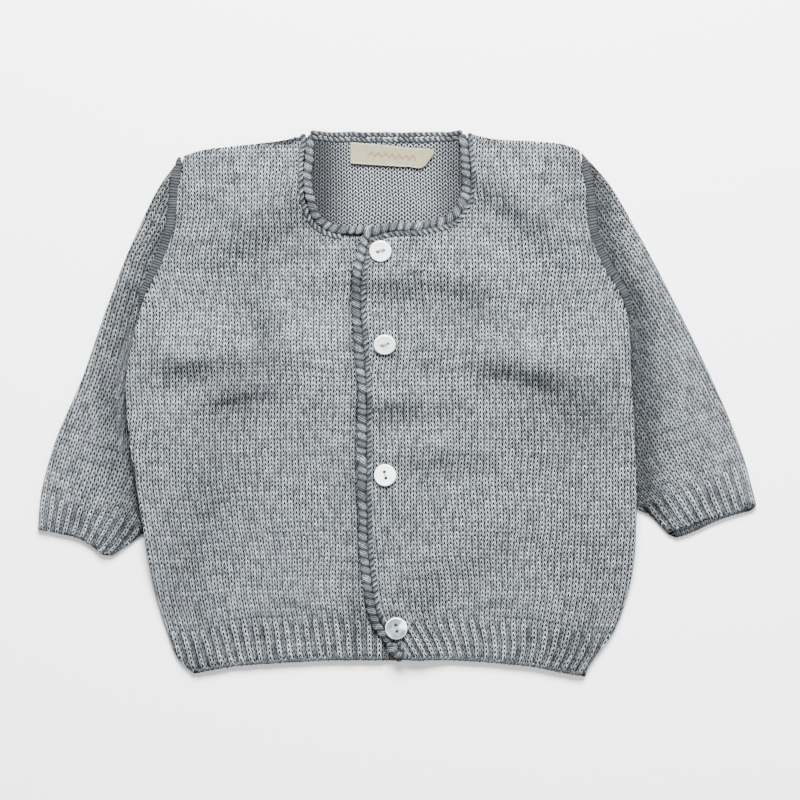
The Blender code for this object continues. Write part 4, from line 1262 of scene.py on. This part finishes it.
def tape_finish():
    """Plain weave on the tape's own millimetres, with a zigzag of tan thread along its middle."""
    finish = Finish("tape", CREAM, 0.75)
    x, y, _ = finish.read("stitch")
    warp = (x * (2 * np.pi / THREAD_PITCH)).math("SINE")
    weft = (y * (2 * np.pi / THREAD_PITCH)).math("SINE")
    weave = warp * weft * 0.5 + 0.5
    soil = finish.noise(finish.vector(x, y, 0.0), 0.35, 3.0, 0.6)
    ground = finish.mix(weave * 0.4 + soil * 1.1 - 0.42, CREAM, CREAM_DEEP)
    frayed = finish.noise(finish.vector(x * 2.2, y * 0.6, 4.0), 1.0, 3.0, 0.6).ease(0.42, 0.6)
    ground = finish.mix(y.math("ABSOLUTE").ease(4.3, 5.2) * frayed, ground, CREAM_EDGE)
    peaks = ((x / ZIGZAG["pitch"]).part() - 0.5).math("ABSOLUTE") * ZIGZAG["height"]
    zigzag = (y - peaks + ZIGZAG["shift"]).math("ABSOLUTE")
    reach = 1 - x.math("ABSOLUTE").ease(ZIGZAG["half_length"], ZIGZAG["half_length"] + 0.4)
    line = (1 - zigzag.ease(0.42, 0.78)) * reach
    colour = finish.mix(line * 0.8, ground, TAN)
    finish.set({"Base Color": colour, "Normal": finish.bump(weave, 0.1 * MM)})
    return finish.material


share, along = np.meshgrid(np.linspace(0, 1, 29), np.linspace(0, 1, 97))
x = blend(LABEL["x"][0], LABEL["x"][-1], along)
y = blend(through(x, LABEL["x"], LABEL["top"]), through(x, LABEL["x"], LABEL["bottom"]), share)
curl = 0.5 * ease(along, 0.86, 1) + 0.12 * np.sin(along * 17) * share
z = CLOTH + 0.45 + neck_lie(x, y) + LABEL_LIFT * share**2 + curl * share
values = np.dstack([x - (LABEL["x"][0] + LABEL["x"][-1]) / 2, (0.5 - share) * TAPE_WIDTH, 1 + 0 * x])
label = slab("label_tape", np.dstack([x, y, z + LABEL_CLOTH]), np.dstack([x, y, z]), values, tape_finish())
settle(label, "tape", "label", flat=(0.044, 0.011), rests_on=["back"])

# Floor, light and camera: a white table under soft studio light from above and from the neck's side.

TABLE_WHITE = (0.92, 0.92, 0.92)
SURROUND = 0.33  # strength of the white light from all round

floor_mesh = bpy.data.meshes.new("table")
floor_mesh.from_pydata([(-3, -3, 0), (3, -3, 0), (3, 3, 0), (-3, 3, 0)], [], [(0, 1, 2, 3)])
floor_mesh.materials.append(Finish("table", TABLE_WHITE, 0.9).material)
floor = bpy.data.objects.new("table", floor_mesh)
floor.location = (0, 0, -0.0002)
bpy.context.scene.collection.objects.link(floor)

# Soft boxes that look at the middle of the cloth
LIGHTS = {
    "name": ("key", "fill"),
    "place": ((0.04, 0.82, 0.96), (0.5, -0.5, 1.0)),
    "size": (0.6, 1.2),
    "power": (104, 14),
}
for name, (x, y, z), size, power in zip(*LIGHTS.values()):
    data = bpy.data.lights.new(name, "AREA")
    data.size, data.energy = size, power
    light = bpy.data.objects.new(name, data)
    light.location = x, y, z
    light.rotation_euler = float(np.arctan2(np.hypot(x, y), z)), 0, float(np.arctan2(x, -y))
    bpy.context.scene.collection.objects.link(light)

world = bpy.data.worlds.new("studio")
world.use_nodes = True
world.node_tree.nodes["Background"].inputs[0].default_value = (1, 1, 1, 1)
world.node_tree.nodes["Background"].inputs[1].default_value = SURROUND
bpy.context.scene.world = world

FRAME_WIDTH = 0.416  # what the picture spans, on the cloth
LENS, SENSOR = 200.0, 36.0
camera = bpy.data.objects.new("camera", bpy.data.cameras.new("camera"))
camera.data.lens, camera.data.sensor_width = LENS, SENSOR
camera.location = (1.56 * MM, 1.56 * MM, FRAME_WIDTH * LENS / SENSOR + 6 * MM)
camera.data.clip_end = 10
bpy.context.scene.collection.objects.link(camera)
bpy.context.scene.camera = camera
